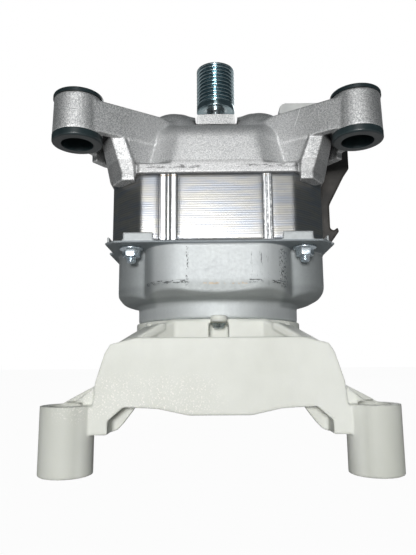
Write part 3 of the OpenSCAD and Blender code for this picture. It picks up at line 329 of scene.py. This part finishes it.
def cup_painted_light(p, colour):
    """Painted light and shade on the cup: painted shade on the roll under it, on the flange's edge and
    underside and in the bays beside the nuts, painted highlights on sharp edges and painted shade in inner
    corners, and the tabs beside the stack darker.
    """
    # Painted shade on the roll under the cup
    roll_under_cup = p.zone(Z, -138.5, -131.8, 3.5)
    colour = p.tone(colour, roll_under_cup, 0.36, (0.24, 0.26, 0.245))
    # Painted highlights on sharp outer edges
    colour = p.tone(colour, p.highlit_edges(0.54, 0.64), 0.7, (0.92, 0.93, 0.93))
    # Painted shade in sharp inner corners
    colour = p.tone(colour, p.hollows(), 0.5, (0.12, 0.13, 0.13))
    # Painted shade on the flange's edge and underside
    flange_edge = p.zone(Z, -111.6, -110.2, 0.2)
    colour = p.tone(colour, flange_edge, 0.8, (0.24, 0.27, 0.29))
    tabs_beside_stack = p.zone(Z, -109.8, -95.0, 0.2)
    colour = p.tone(colour, tabs_beside_stack, 0.4, (0.34, 0.36, 0.37))
    # Painted shade in the bays beside the nuts
    bays_beside_nuts = p.both(p.sides(35.0, 70, 4), p.zone(Z, -140.0, -112.5, 2))
    return p.tone(colour, bays_beside_nuts, 0.55, (0.20, 0.22, 0.225))


def zinc_sheet():
    """Drawn sheet with a dull zinc coat, black scuffs and a trace of rust."""
    p = Paint("zinc_sheet", metal=0.7, edge=0.5)
    fine = p.noise(700, 3, 0.6)
    cloud = p.noise(40, 5, 0.6)
    pull = p.noise(1, 3, 0.6, (500, 500, 25))
    colour = p.ramp(cloud, [(0.35, (0.60, 0.625, 0.63)), (0.65, (0.67, 0.695, 0.695))])
    colour = p.shade(colour, 0.15, pull, [(0.35, 0.84), (0.6, 1.0)])
    colour = p.tone(colour, press_scuffs(p), 0.9, (0.05, 0.052, 0.055))
    # The rust runs along the front face's lower edge
    lower_edge = p.both(p.zone(Z, -131.8, -131.2, 0.4), p.zone(X, -7.5, 13.0, 2))
    rust = p.both(lower_edge, p.spots(0.46, 0.56, 500, 3, 0.7))
    colour = p.tone(colour, rust, 0.6, (0.75, 0.52, 0.30))
    # Painted light and shade on the cup
    colour = cup_painted_light(p, colour)
    rough = p.ramp(fine, [(0.3, 0.74), (0.7, 0.64)])
    return p.finish(colour, rough, p.bump(fine, 0.2, 0.1, p.bump(pull, 0.06, 0.1)))


def blue_zinc():
    """Bright zinc with a blue tint, on the nuts, rods and screws."""
    p = Paint("blue_zinc", metal=0.95)
    fine = p.noise(1200, 3, 0.6)
    cloud = p.noise(180, 3, 0.6)
    colour = p.ramp(cloud, [(0.35, (0.50, 0.58, 0.64)), (0.65, (0.76, 0.82, 0.86))])
    return p.finish(colour, p.ramp(fine, [(0.3, 0.36), (0.7, 0.22)]), p.bump(fine, 0.2, 0.08))


def white_plastic():
    """Glass filled polymer: warm white, a fine grain and faint flow lines, with painted glints low on the
    front wall and painted shade on the posts and in inner corners.
    """
    p = Paint("white_plastic", spec=0.35)
    p.shader.inputs["Subsurface Weight"].default_value = 0.08
    p.shader.inputs["Subsurface Radius"].default_value = (0.002, 0.002, 0.0015)
    fine = p.noise(900, 3, 0.6)
    soft = p.noise(30, 4, 0.5)
    flow = p.noise(150, 3, 0.6, (1, 1, 0.5))
    colour = p.ramp(soft, [(0.35, (0.72, 0.73, 0.67)), (0.65, (0.79, 0.80, 0.745))])
    colour = p.shade(colour, 0.25, flow, [(0.4, 0.94), (0.6, 1.0)])
    # Painted shade: the posts are greyer than the wall
    posts = p.sides(64.0, 110, 3)
    colour = p.tone(colour, posts, 0.5, (0.50, 0.51, 0.455))
    # Painted glints, low on the front wall, most of all on its left
    low_wall = p.both(p.zone(Z, -190.0, -179.5, 8), p.zone(X, -60, -12, 20))
    painted_glints = p.both(low_wall, p.spots(0.56, 0.66, 1300, 2, 0.6))
    colour = p.tone(colour, painted_glints, 0.8, (0.98, 0.95, 0.90))
    # Painted shade in sharp inner corners
    colour = p.tone(colour, p.hollows(), 0.35, (0.42, 0.44, 0.38))
    rough = p.ramp(fine, [(0.3, 0.62), (0.7, 0.48)])
    return p.finish(colour, rough, p.bump(fine, 0.25, 0.12, p.bump(flow, 0.12, 0.3)))


def moulded(name, low, high, rough_low, rough_high, strength=0.25, metal=0.0):
    """A dull material between two tones with a fine grain: plastic, rubber, film or cast metal."""
    p = Paint(name, metal=metal)
    fine = p.noise(1100, 3, 0.6)
    soft = p.noise(90, 4, 0.6)
    colour = p.ramp(soft, [(0.35, low), (0.65, high)])
    rough = p.ramp(fine, [(0.3, rough_high), (0.7, rough_low)])
    return p.finish(colour, rough, p.bump(fine, strength, 0.12))


def turned(name, low, high, rough_low, rough_high, metal=1.0, lines=1800):
    """Turned or ground metal with fine rings round the shaft's axis."""
    p = Paint(name, metal=metal)
    rings = p.noise(1, 2, 0.5, (40, 40, lines))
    cloud = p.noise(200, 3, 0.6)
    ring_tone = p.ramp(rings, [(0.3, low), (0.7, high)])
    cloud_tone = p.ramp(cloud, [(0.35, low), (0.65, high)])
    rough = p.ramp(cloud, [(0.35, rough_high), (0.65, rough_low)])
    return p.finish(p.mix(0.5, ring_tone, cloud_tone), rough, p.bump(rings, 0.25, 0.06))


def rough_weld():
    """A lumpy weld bead, darker and duller where its noise is low."""
    p = Paint("rough_weld", metal=0.8)
    lump = p.noise(700, 4, 0.7)
    dark, middle, light = (0.16, 0.17, 0.18), (0.42, 0.43, 0.44), (0.85, 0.85, 0.84)
    colour = p.ramp(lump, [(0.3, dark), (0.5, middle), (0.75, light)])
    return p.finish(colour, p.ramp(lump, [(0.3, 0.6), (0.7, 0.3)]), p.bump(lump, 0.8, 0.5))


CAST = cast_aluminium()
STACK = stack_steel()
ZINC = zinc_sheet()
NUT = blue_zinc()
WHITE = white_plastic()
RUBBER = moulded("bush_rubber", (0.011, 0.019, 0.021), (0.021, 0.033, 0.036), 0.30, 0.42, 0.3)
DARK = moulded("dark_plastic", (0.020, 0.018, 0.016), (0.045, 0.040, 0.035), 0.42, 0.6)
GREY = moulded("grey_plastic", (0.52, 0.53, 0.52), (0.64, 0.65, 0.63), 0.42, 0.6)
LINER = moulded("liner_film", (0.70, 0.66, 0.52), (0.82, 0.78, 0.66), 0.4, 0.6)
SLEEVE = moulded("lead_sleeve", (0.62, 0.60, 0.52), (0.74, 0.72, 0.64), 0.4, 0.55)
PULLEY = turned("pulley_steel", (0.34, 0.46, 0.50), (0.58, 0.70, 0.74), 0.12, 0.20)
SHAFT = turned("shaft_steel", (0.42, 0.43, 0.44), (0.66, 0.67, 0.68), 0.2, 0.35)
BEARING = turned("bearing_steel", (0.62, 0.63, 0.64), (0.78, 0.79, 0.80), 0.1, 0.22)
SPRING = turned("spring_steel", (0.12, 0.13, 0.14), (0.24, 0.25, 0.26), 0.3, 0.45)
BRASS = turned("cage_brass", (0.55, 0.40, 0.14), (0.74, 0.58, 0.26), 0.25, 0.4)
ROTOR = turned("rotor_steel", (0.36, 0.37, 0.38), (0.58, 0.59, 0.60), 0.3, 0.45)
ALLOY = moulded("rotor_aluminium", (0.55, 0.56, 0.57), (0.72, 0.73, 0.74), 0.35, 0.5, metal=0.9)
MAGNET = moulded("magnet", (0.07, 0.07, 0.075), (0.14, 0.14, 0.15), 0.45, 0.65)
COPPER = turned("copper_wire", (0.36, 0.14, 0.05), (0.62, 0.28, 0.12), 0.25, 0.4, 0.9, 2600)
PINS = turned("pin_metal", (0.62, 0.58, 0.42), (0.80, 0.77, 0.62), 0.2, 0.35)
WELD = rough_weld()
BAR = turned("pressed_bar", (0.86, 0.87, 0.88), (0.95, 0.95, 0.95), 0.30, 0.42, 0.85)
SOOT = moulded("soot", (0.035, 0.037, 0.040), (0.075, 0.077, 0.080), 0.5, 0.7)
FLUX = moulded("flux", (0.40, 0.30, 0.19), (0.56, 0.45, 0.30), 0.35, 0.55)

NODE_MATERIAL = {
    "front_endshield": CAST, "left_bush": RUBBER, "right_bush": RUBBER, "stator_core": STACK,
    "slot_liners": LINER, "stator_winding": COPPER, "thermal_protector": DARK, "rear_cover": ZINC,
    "tie_rods": NUT, "flange_nuts": NUT, "mounting_bracket": WHITE, "bracket_screws": NUT,
    "shaft": SHAFT, "belt_pulley": PULLEY, "rotor_core": ROTOR, "rotor_cage": ALLOY,
    "front_outer_ring": BEARING, "front_inner_ring": BEARING, "front_balls": BEARING,
    "front_ball_cage": BRASS, "front_shields": SPRING, "bearing_circlip": SPRING,
    "rear_outer_ring": BEARING, "rear_inner_ring": BEARING, "rear_balls": BEARING,
    "rear_ball_cage": BRASS, "rear_shields": SPRING, "wave_washer": SPRING,
    "tacho_magnet": MAGNET, "tacho_coil": COPPER, "tacho_cap": DARK, "lead_duct": DARK,
    "duct_screws": NUT, "connector_housing": GREY, "connector_pins": PINS, "lead_bundle": SLEEVE,
}
for name, material in NODE_MATERIAL.items():
    mesh = nodes[name].data
    mesh.materials.clear()
    mesh.materials.append(material)


# Mesh helpers
def keep(mesh, name, material, body="motor_frame", node=None, smooth=True):
    """Makes an object of a mesh, ties it to its body and slot, and hides the CAD node that it replaces."""
    mesh.materials.clear()
    mesh.materials.append(material)
    for face in mesh.polygons:
        face.use_smooth = smooth
    obj = bpy.data.objects.new(name, mesh)
    bpy.context.scene.collection.objects.link(obj)
    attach(obj, body)
    if node:
        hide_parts(node)


def from_bmesh(bm, name):
    mesh = bpy.data.meshes.new(name)
    bmesh.ops.recalc_face_normals(bm, faces=bm.faces)
    bm.to_mesh(mesh)
    bm.free()
    return mesh


def joined(parts, name):
    """One mesh from several bmeshes."""
    bm = bmesh.new()
    for part in parts:
        mesh = bpy.data.meshes.new("part")
        part.to_mesh(mesh)
        part.free()
        bm.from_mesh(mesh)
        bpy.data.meshes.remove(mesh)
    return from_bmesh(bm, name)


def vertex(bm, x, y, z):
    """A vertex at a place in millimetres."""
    return bm.verts.new((x * MM, y * MM, z * MM))


def ring(bm, x, y, z, steps, radius):
    """Vertices round (x, y). The radius is a function of the angle."""
    angles = [2 * math.pi * k / steps for k in range(steps)]
    return [vertex(bm, x + radius(a) * math.cos(a), y + radius(a) * math.sin(a), z) for a in angles]


def circle(radius):
    """The same radius at every angle, for a ring."""
    return lambda angle: radius


def skin(bm, rows, around=True, closed=False):
    """Faces between neighbouring rows: around joins each row's ends, closed the last row to the first."""
    pairs = list(zip(rows, rows[1:]))
    if closed:
        pairs.append((rows[-1], rows[0]))
    for a, b in pairs:
        for k in range(len(a) if around else len(a) - 1):
            n = (k + 1) % len(a)
            bm.faces.new((a[k], a[n], b[n], b[k]))


def lathe(profile, steps, centre=(0, 0), closed=True):
    """A mesh turned from (radius, z) points in millimetres about an upright axis."""
    bm = bmesh.new()
    skin(bm, [ring(bm, *centre, z, steps, circle(r)) for r, z in profile], closed=closed)
    return bm


def applied(obj):
    """The object's mesh with its modifiers applied. The object itself is removed."""
    dg = bpy.context.evaluated_depsgraph_get()
    mesh = bpy.data.meshes.new_from_object(obj.evaluated_get(dg))
    bpy.data.objects.remove(obj)
    return mesh


SMOOTHING = 0.5


def smoothed(mesh, rounds, zone=None):
    """The mesh after rounds of smoothing, weighted by the zone where one is given."""
    temp = bpy.data.objects.new("temp", mesh)
    bpy.context.scene.collection.objects.link(temp)
    smooth = temp.modifiers.new("smooth", "SMOOTH")
    smooth.factor = SMOOTHING
    smooth.iterations = rounds
    if zone:
        group = temp.vertex_groups.new(name="zone")
        for v in mesh.vertices:
            share = zone(v.co / MM)
            if share > 0:
                group.add([v.index], share, "REPLACE")
        smooth.vertex_group = "zone"
    return applied(temp)


def soft_cast(node, voxel, rounds, zone=None, zone_rounds=0, dip=None):
    """A copy of a CAD node's mesh with its edges rounded, as moulding or casting leaves them."""
    temp = bpy.data.objects.new("temp_" + node, nodes[node].data.copy())
    bpy.context.scene.collection.objects.link(temp)
    weld = temp.modifiers.new("weld", "WELD")
    weld.merge_threshold = 0.01 * MM
    remesh = temp.modifiers.new("remesh", "REMESH")
    remesh.mode = "VOXEL"
    remesh.voxel_size = voxel * MM
    mesh = smoothed(applied(temp), rounds)
    if zone:
        mesh = smoothed(mesh, zone_rounds, zone)
    low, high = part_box(node)
    for v in mesh.vertices:
        v.co = [min(max(v.co[i], low[i]), high[i]) for i in range(3)]
        if dip:
            v.co.z = min(v.co.z, dip(v.co / MM) * MM)
    return mesh


def fade(value, low, high):
    """0 at low, 1 at high, and a straight line between them."""
    return min(max((value - low) / (high - low), 0.0), 1.0)


# Cast and moulded pieces, in millimetres
CROWN_LOW = -39.4
CROWN_GAP_HALF = 12


def dome_front(at):
    """The dome's flanks between its edge lines, where the casting runs round without a crease."""
    near, far = sorted((abs(at.x), abs(at.y)))
    height = fade(-at.z, 38, 41) * fade(69 + at.z, 0, 4)
    return height * fade(28 - near, 0, 4) * fade(far, 20, 26)


def crown_dip(at):
    """The highest z between the crown's humps, so that the boss shows down to its foot."""
    between_humps = abs(at.x) < CROWN_GAP_HALF and 11.4 < abs(at.y) < 37.5 and at.z > -42
    return CROWN_LOW if between_humps else 0


def cup_wall(at):
    """The cup below its flange."""
    return fade(-at.z, 114, 120)


keep(soft_cast("front_endshield", voxel=0.55, rounds=2, zone=dome_front, zone_rounds=120, dip=crown_dip),
     "endshield_casting", CAST, node="front_endshield")
keep(soft_cast("mounting_bracket", voxel=0.65, rounds=2), "bracket_moulding", WHITE,
     node="mounting_bracket")
keep(soft_cast("rear_cover", voxel=0.6, rounds=2, zone=cup_wall, zone_rounds=30), "rear_cup", ZINC,
     node="rear_cover")
keep(soft_cast("lead_duct", voxel=0.6, rounds=3), "duct_moulding", DARK,
     node="lead_duct")
keep(soft_cast("connector_housing", voxel=0.6, rounds=3), "housing_moulding", GREY,
     node="connector_housing")


def niche_boss():
    """The round white boss that stands over the bracket's front screw."""
    radius, centre_y = 4.1, -51.5
    top, foot = SADDLE_TOP + 1.1, SADDLE_TOP - 2.0
    profile = [(0.0, top), (radius - 0.8, top - 0.05), (radius - 0.2, top - 0.25), (radius, top - 0.7),
               (radius, foot), (0.0, foot)]
    return lathe(profile, 64, (0, centre_y), closed=False)


keep(from_bmesh(niche_boss(), "niche_boss"), "bracket_niche_boss", WHITE)


def boss_block():
    """The square boss that the shaft comes out of, with slightly bulging faces and crisp corners."""
    half, swell, top, low, steps = 11.2, 0.6, -21.2, -45.0, 12
    plan = []
    for turn in range(4):
        a = turn * math.pi / 2
        for k in range(steps):
            t = 2 * k / steps - 1
            x, y = half * t, -(half + swell * (1 - t * t))
            plan.append((x * math.cos(a) - y * math.sin(a), x * math.sin(a) + y * math.cos(a)))
    bm = bmesh.new()
    levels = ((1, low), (1, top - 0.3), (0.975, top))
    rings = [[vertex(bm, x * share, y * share, z) for x, y in plan] for share, z in levels]
    skin(bm, rings)
    bm.faces.new(rings[-1])
    return bm


def crown_wave(side):
    """The wavy ridge on the dome's crown, low between its two humps and sloping down to the shoulder."""
    half, hump_x, hump_half, hump_rise = 30, 21.0, 10.5, 2.6
    # Distance from the axis, height, and the share of the humps' rise there
    rows = [(36.0, -37.6, 0.0), (33.0, -34.9, 0.3), (30.0, -32.9, 0.8), (27.5, -31.9, 1.0),
            (24.0, -31.6, 1.0), (18.0, -31.6, 1.0), (11.0, -32.2, 0.6), (11.0, -38.0, 0.0)]
    bm = bmesh.new()
    grid = []
    for y, z, share in rows:
        row = []
        for x in range(-half, half + 1):
            near = max(0.0, 1 - abs(abs(x) - hump_x) / hump_half)
            height = z + share * hump_rise * (0.5 - 0.5 * math.cos(math.pi * near))
            if abs(x) < CROWN_GAP_HALF:
                height = min(height, CROWN_LOW - 0.1)
            row.append(vertex(bm, x * side, -y * side, height))
        grid.append(row)
    skin(bm, grid, around=False)
    return bm


keep(from_bmesh(boss_block(), "boss"), "endshield_boss", CAST, smooth=False)
keep(joined([crown_wave(1), crown_wave(-1)], "waves"), "endshield_crown_waves", CAST)


# Belt pulley
def pulley_profile():
    """The pulley's section as (radius, z) points: rounded ribs between two plain collars."""
    root = PULLEY_R - RIB_DEPTH
    first = -RIB_COUNT * RIB_PITCH / 2
    # One rib, as shares of the pitch and radii, up to the next groove
    rib = [(0.07, root + 0.12), (0.12, root + 0.5), (0.32, PULLEY_R - 0.22), (0.40, PULLEY_R - 0.03),
           (0.5, PULLEY_R), (0.60, PULLEY_R - 0.03), (0.68, PULLEY_R - 0.22), (0.88, root + 0.5),
           (0.93, root + 0.12), (1.0, root)]
    points = [(PULLEY_BORE_R, PULLEY_BOTTOM), (PULLEY_R - 0.35, PULLEY_BOTTOM),
              (PULLEY_R - 0.1, PULLEY_BOTTOM + 0.1), (PULLEY_R, PULLEY_BOTTOM + 0.35),
              (PULLEY_R, first - 0.15), (PULLEY_R - 0.1, first)]
    for i in range(RIB_COUNT):
        points += [(r, first + (i + share) * RIB_PITCH) for share, r in rib]
    points += [(PULLEY_R - 0.25, -first + 0.1), (PULLEY_R, -first + 0.3), (PULLEY_R, PULLEY_TOP - 0.4),
               (PULLEY_R - 0.12, PULLEY_TOP - 0.12), (PULLEY_R - 0.4, PULLEY_TOP),
               (PULLEY_BORE_R + 0.6, PULLEY_TOP), (PULLEY_BORE_R, PULLEY_TOP - 0.6)]
    return points


keep(from_bmesh(lathe(pulley_profile(), 128), "belt_pulley_turned"), "pulley_turned", PULLEY, "rotor",
     "belt_pulley")


# Nuts and tie rods
def hex_nut(x, y):
    """A flange nut that hangs below the rear cover's flange."""
    face, low = FLANGE_BOTTOM, FLANGE_BOTTOM - NUT_HEIGHT
    below = face - NUT_FLANGE_T
    rim, bore, flat = NUT_FLANGE_D / 2, ROD_D / 2, NUT_ACROSS / 2
    corner = flat / math.cos(math.pi / 6)

    def hexagon(limit, extra=0.0):
        """A hexagon's radius by angle, cut off at a limit."""
        return lambda a: min(flat / math.cos(a % (math.pi / 3) - math.pi / 6), limit) + extra

    rows = [(circle(bore), face), (circle(rim - 0.3), face), (circle(rim), face - 0.3),
            (circle(rim), below + 0.2), (circle(rim - 0.2), below),
            (hexagon(corner, 0.35), below - 0.25), (hexagon(corner), below - 0.6),
            (hexagon(corner), low + 0.65), (hexagon(corner - 0.12), low + 0.4),
            (hexagon(corner - 0.45), low + 0.12), (hexagon(flat - 0.1), low),
            (circle(bore + 0.35), low), (circle(bore), low + 0.35)]
    bm = bmesh.new()
    skin(bm, [ring(bm, x, y, z, 72, radius) for radius, z in rows], closed=True)
    return bm


def threaded_rod(x, y):
    """A tie rod with its thread below the flange and its plain shank above."""
    r, depth, steps, rows_per_pitch = ROD_D / 2, 0.45, 24, 6

    def thread(z):
        """The radius by angle on a helix at a height."""
        return lambda a: r - depth * (1 - abs(2 * ((z / ROD_PITCH - a / (2 * math.pi)) % 1.0) - 1))

    tip, shank = circle(0.01), circle(r - 0.02)
    rows = [(tip, ROD_BOTTOM), (circle(r - 2 * depth), ROD_BOTTOM), (circle(r - depth), ROD_BOTTOM + depth)]
    z = ROD_BOTTOM + 0.6
    while z < FLANGE_BOTTOM:
        rows.append((thread(z), z))
        z += ROD_PITCH / rows_per_pitch
    rows += [(shank, FLANGE_BOTTOM + 0.2), (shank, ROD_TOP), (tip, ROD_TOP)]
    bm = bmesh.new()
    skin(bm, [ring(bm, x, y, z, steps, radius) for radius, z in rows])
    return bm


CORNERS = [(sx * ROD_PLACE, sy * ROD_PLACE) for sx in (-1, 1) for sy in (-1, 1)]
keep(joined([hex_nut(x, y) for x, y in CORNERS], "nuts"), "nuts_flanged", NUT,
     node="flange_nuts")
keep(joined([threaded_rod(x, y) for x, y in CORNERS], "rods"), "rods_threaded", NUT,
     node="tie_rods")


# Bars and weld seams on the stack
def seam(x, width, proud, turn, rough=0.0, shape=6):
    """A bar along the stack's face at x: its section is flat with round edges, or lumpy as a weld is."""
    across, along, sunk, end_gap = 12, 90, 0.05, 0.3
    low, high = STACK_BOTTOM + end_gap, STACK_TOP - end_gap
    spin = Matrix.Rotation(turn, 3, "Z")
    bm = bmesh.new()
    grid = []
    for j in range(along + 1):
        z = low + (high - low) * j / along
        row = []
        for i in range(across + 1):
            s = i / across
            w = (s - 0.5) * width
            lump = rough * noise.noise(Vector((x + w * 1.6 + z * 0.8, z * 1.9 - w * 0.9, turn)))
            rise = (proud + lump) * (1 - abs(2 * s - 1) ** shape)
            row.append(bm.verts.new(spin @ (Vector((x + w, -STACK_HALF + sunk - rise, z)) * MM)))
        grid.append(row)
    skin(bm, grid, around=False)
    return bm


def droplet(x, turn):
    """A bead of flux at the upper end of a seam."""
    radius, flatness, uneven = 0.55, 0.45, 0.35
    at = Vector((x, -STACK_HALF - 0.05, STACK_TOP - 1.0)) * MM
    spin = Matrix.Rotation(turn, 3, "Z")
    bm = bmesh.new()
    bmesh.ops.create_icosphere(bm, subdivisions=2, radius=radius * MM)
    for v in bm.verts:
        swell = 1 + uneven * noise.noise(v.co * 2500 + Vector((x, x, 0)))
        v.co = spin @ (Vector((v.co.x, v.co.y * flatness, v.co.z)) * swell + at)
    return bm


FACES = [k * math.pi / 2 for k in range(4)]
# Middle and width of two wide bars with a narrow one between them, of the dark gaps beside the bars
# and the weld, of the weld itself and of the two crests on it
BARS = [(-27.3, 2.9), (-24.7, 0.75), (-22.05, 2.7)]
GAPS = [(-29.4, 0.5), (-25.45, 0.6), (-23.85, 0.8), (-20.3, 0.5), (22.5, 0.6), (27.3, 0.6)]
WELD_MIDDLE, WELD_WIDTH = 24.9, 4.3
CREST_OFFSETS, CREST_WIDTH = (-1.15, 0.75), 1.05
DROPS = (-28.2, -26.4, -24.7, -23.0, -21.2, 24.2, 25.7)
bars = [seam(x, w, 0.28, turn) for turn in FACES for x, w in BARS]
gaps = [seam(x, w, 0.06, turn) for turn in FACES for x, w in GAPS]
welds = [seam(WELD_MIDDLE, WELD_WIDTH, 0.14, turn, 0.10, 4) for turn in FACES]
crests = [seam(WELD_MIDDLE + x, CREST_WIDTH, 0.34, turn, 0.04, 4) for turn in FACES for x in CREST_OFFSETS]
drops = [droplet(x, turn) for turn in FACES for x in DROPS]
keep(joined(bars, "bars"), "stack_clamp_bars", BAR)
keep(joined(gaps, "gaps"), "stack_bar_gaps", SOOT)
keep(joined(welds, "welds"), "stack_weld_beads", WELD)
keep(joined(crests, "crests"), "stack_weld_crests", BAR)
keep(joined(drops, "drops"), "stack_weld_drops", FLUX)


# Camera, fitted to the photo, in metres
FOCAL_PX = 513.1
FRAME_PX = 555
SENSOR_MM = 36
CAMERA_PLACE = Vector((-0.0028, -0.3019, -0.1694))
pitch, roll, yaw = math.radians(9.37), math.radians(-0.41), math.radians(-0.53)
flat = Vector((math.sin(yaw), math.cos(yaw), 0))
side = Vector((math.cos(yaw), -math.sin(yaw), 0))
ahead = flat * math.cos(pitch) + Vector((0, 0, math.sin(pitch)))
above = -flat * math.sin(pitch) + Vector((0, 0, math.cos(pitch)))
right = math.cos(roll) * side + math.sin(roll) * above
up = -math.sin(roll) * side + math.cos(roll) * above
camera_data = bpy.data.cameras.new("camera")
camera_data.sensor_fit = "AUTO"
camera_data.sensor_width = SENSOR_MM
camera_data.lens = FOCAL_PX / FRAME_PX * SENSOR_MM
camera_data.clip_start = 0.01
camera_data.clip_end = 50
camera = bpy.data.objects.new("camera", camera_data)
axes = Matrix((right, up, -ahead)).transposed()
camera.matrix_world = Matrix.Translation(CAMERA_PLACE) @ axes.to_4x4()
bpy.context.scene.collection.objects.link(camera)
bpy.context.scene.camera = camera


# Floor, world and lamps, in metres
def shows_backdrop(nt, in_mirrors=1.0):
    """How much of the white backdrop a ray sees: all of it for the camera, a share in metal and glass."""
    path = nt.nodes.new("ShaderNodeLightPath")
    total = path.outputs["Is Camera Ray"]
    for ray in ("Is Glossy Ray", "Is Transmission Ray"):
        part = math_node(nt, "MULTIPLY", path.outputs[ray], in_mirrors)
        total = math_node(nt, "MAXIMUM", total, part)
    return total


def mix_shaders(nt, share, first, second, out):
    """Two shaders mixed by a share of the second, as the tree's result."""
    mix = nt.nodes.new("ShaderNodeMixShader")
    for slot, source in enumerate((share, first, second)):
        nt.links.new(source, mix.inputs[slot])
    nt.links.new(mix.outputs[0], out.inputs[0])


def stage_material():
    """White for the camera and dimmer in mirrors, with a trace of the object's shadow."""
    m = bpy.data.materials.new("stage")
    m.use_nodes = True
    nt = m.node_tree
    nt.nodes.clear()
    diffuse = nt.nodes.new("ShaderNodeBsdfDiffuse")
    diffuse.inputs["Color"].default_value = (0.4, 0.4, 0.4, 1)
    glow = nt.nodes.new("ShaderNodeEmission")
    glow.inputs["Strength"].default_value = 1.0
    glow_share = math_node(nt, "MULTIPLY", shows_backdrop(nt, in_mirrors=0.3), 0.97)
    out = nt.nodes.new("ShaderNodeOutputMaterial")
    mix_shaders(nt, glow_share, diffuse.outputs[0], glow.outputs[0], out)
    return m


FLOOR_HALF = 4
FLOOR_Z = bracket_low[Z] * MM - 0.0002
bm = bmesh.new()
corners = ((-1, -1), (1, -1), (1, 1), (-1, 1))
bm.faces.new([bm.verts.new((x * FLOOR_HALF, y * FLOOR_HALF, FLOOR_Z)) for x, y in corners])
floor = bpy.data.objects.new("floor", from_bmesh(bm, "floor"))
floor.data.materials.append(stage_material())
bpy.context.scene.collection.objects.link(floor)

# The room's light against the direction along Y, from behind the camera to behind the object
ROOM_STOPS = [(0.0, (0.045, 0.056, 0.061)), (0.35, (0.040, 0.050, 0.054)), (0.50, (0.045, 0.055, 0.060)),
              (0.75, (0.055, 0.066, 0.070)), (1.0, (0.09, 0.10, 0.105))]


def studio_world():
    """A dim teal room, lightest behind the object, where the white backdrop stands."""
    world = bpy.data.worlds.new("studio")
    bpy.context.scene.world = world
    world.use_nodes = True
    nt = world.node_tree
    nt.nodes.clear()
    coord = nt.nodes.new("ShaderNodeTexCoord")
    split = nt.nodes.new("ShaderNodeSeparateXYZ")
    nt.links.new(coord.outputs["Generated"], split.inputs[0])

    def along_y(low, high, stops):
        spread = nt.nodes.new("ShaderNodeMapRange")
        spread.inputs["From Min"].default_value = low
        spread.inputs["From Max"].default_value = high
        nt.links.new(split.outputs[Y], spread.inputs["Value"])
        return ramp_node(nt, spread.outputs[0], stops)

    ambient = nt.nodes.new("ShaderNodeBackground")
    nt.links.new(along_y(-1, 1, ROOM_STOPS), ambient.inputs["Color"])
    backdrop = nt.nodes.new("ShaderNodeBackground")
    backdrop.inputs["Color"].default_value = (1, 1, 1, 1)
    sheet = along_y(0.90, 0.98, [(0, 0), (1, 1)])
    inside = math_node(nt, "MULTIPLY", shows_backdrop(nt), sheet)
    path = nt.nodes.new("ShaderNodeLightPath")
    seen = math_node(nt, "MAXIMUM", path.outputs["Is Camera Ray"], inside)
    out = nt.nodes.new("ShaderNodeOutputWorld")
    mix_shaders(nt, seen, ambient.outputs[0], backdrop.outputs[0], out)


def softbox(name, place, target, size, power):
    """A rectangular lamp that faces its target, with a power in watts."""
    data = bpy.data.lights.new(name, "AREA")
    data.shape = "RECTANGLE"
    data.size, data.size_y = size
    data.energy = power
    lamp = bpy.data.objects.new(name, data)
    lamp.location = place
    lamp.rotation_euler = (Vector(target) - Vector(place)).to_track_quat("-Z", "Y").to_euler()
    bpy.context.scene.collection.objects.link(lamp)


studio_world()
# A flash beside the camera lights the object, a tall dim panel above it is what the steel reflects,
# and a fill behind the object lights its back for the other views
softbox("flash", place=(-0.065, -0.80, -0.09), target=(0, -0.05, -0.12), size=(0.20, 0.14), power=4.6)
softbox("panel", place=(-0.018, -0.95, 0.68), target=(-0.018, 0, 0.68), size=(0.27, 1.2), power=1.10)
softbox("rear_fill", place=(0.25, 0.95, 0.45), target=(0, 0.05, -0.10), size=(0.9, 0.7), power=4.5)
bpy.context.scene.view_settings.view_transform = "Standard"
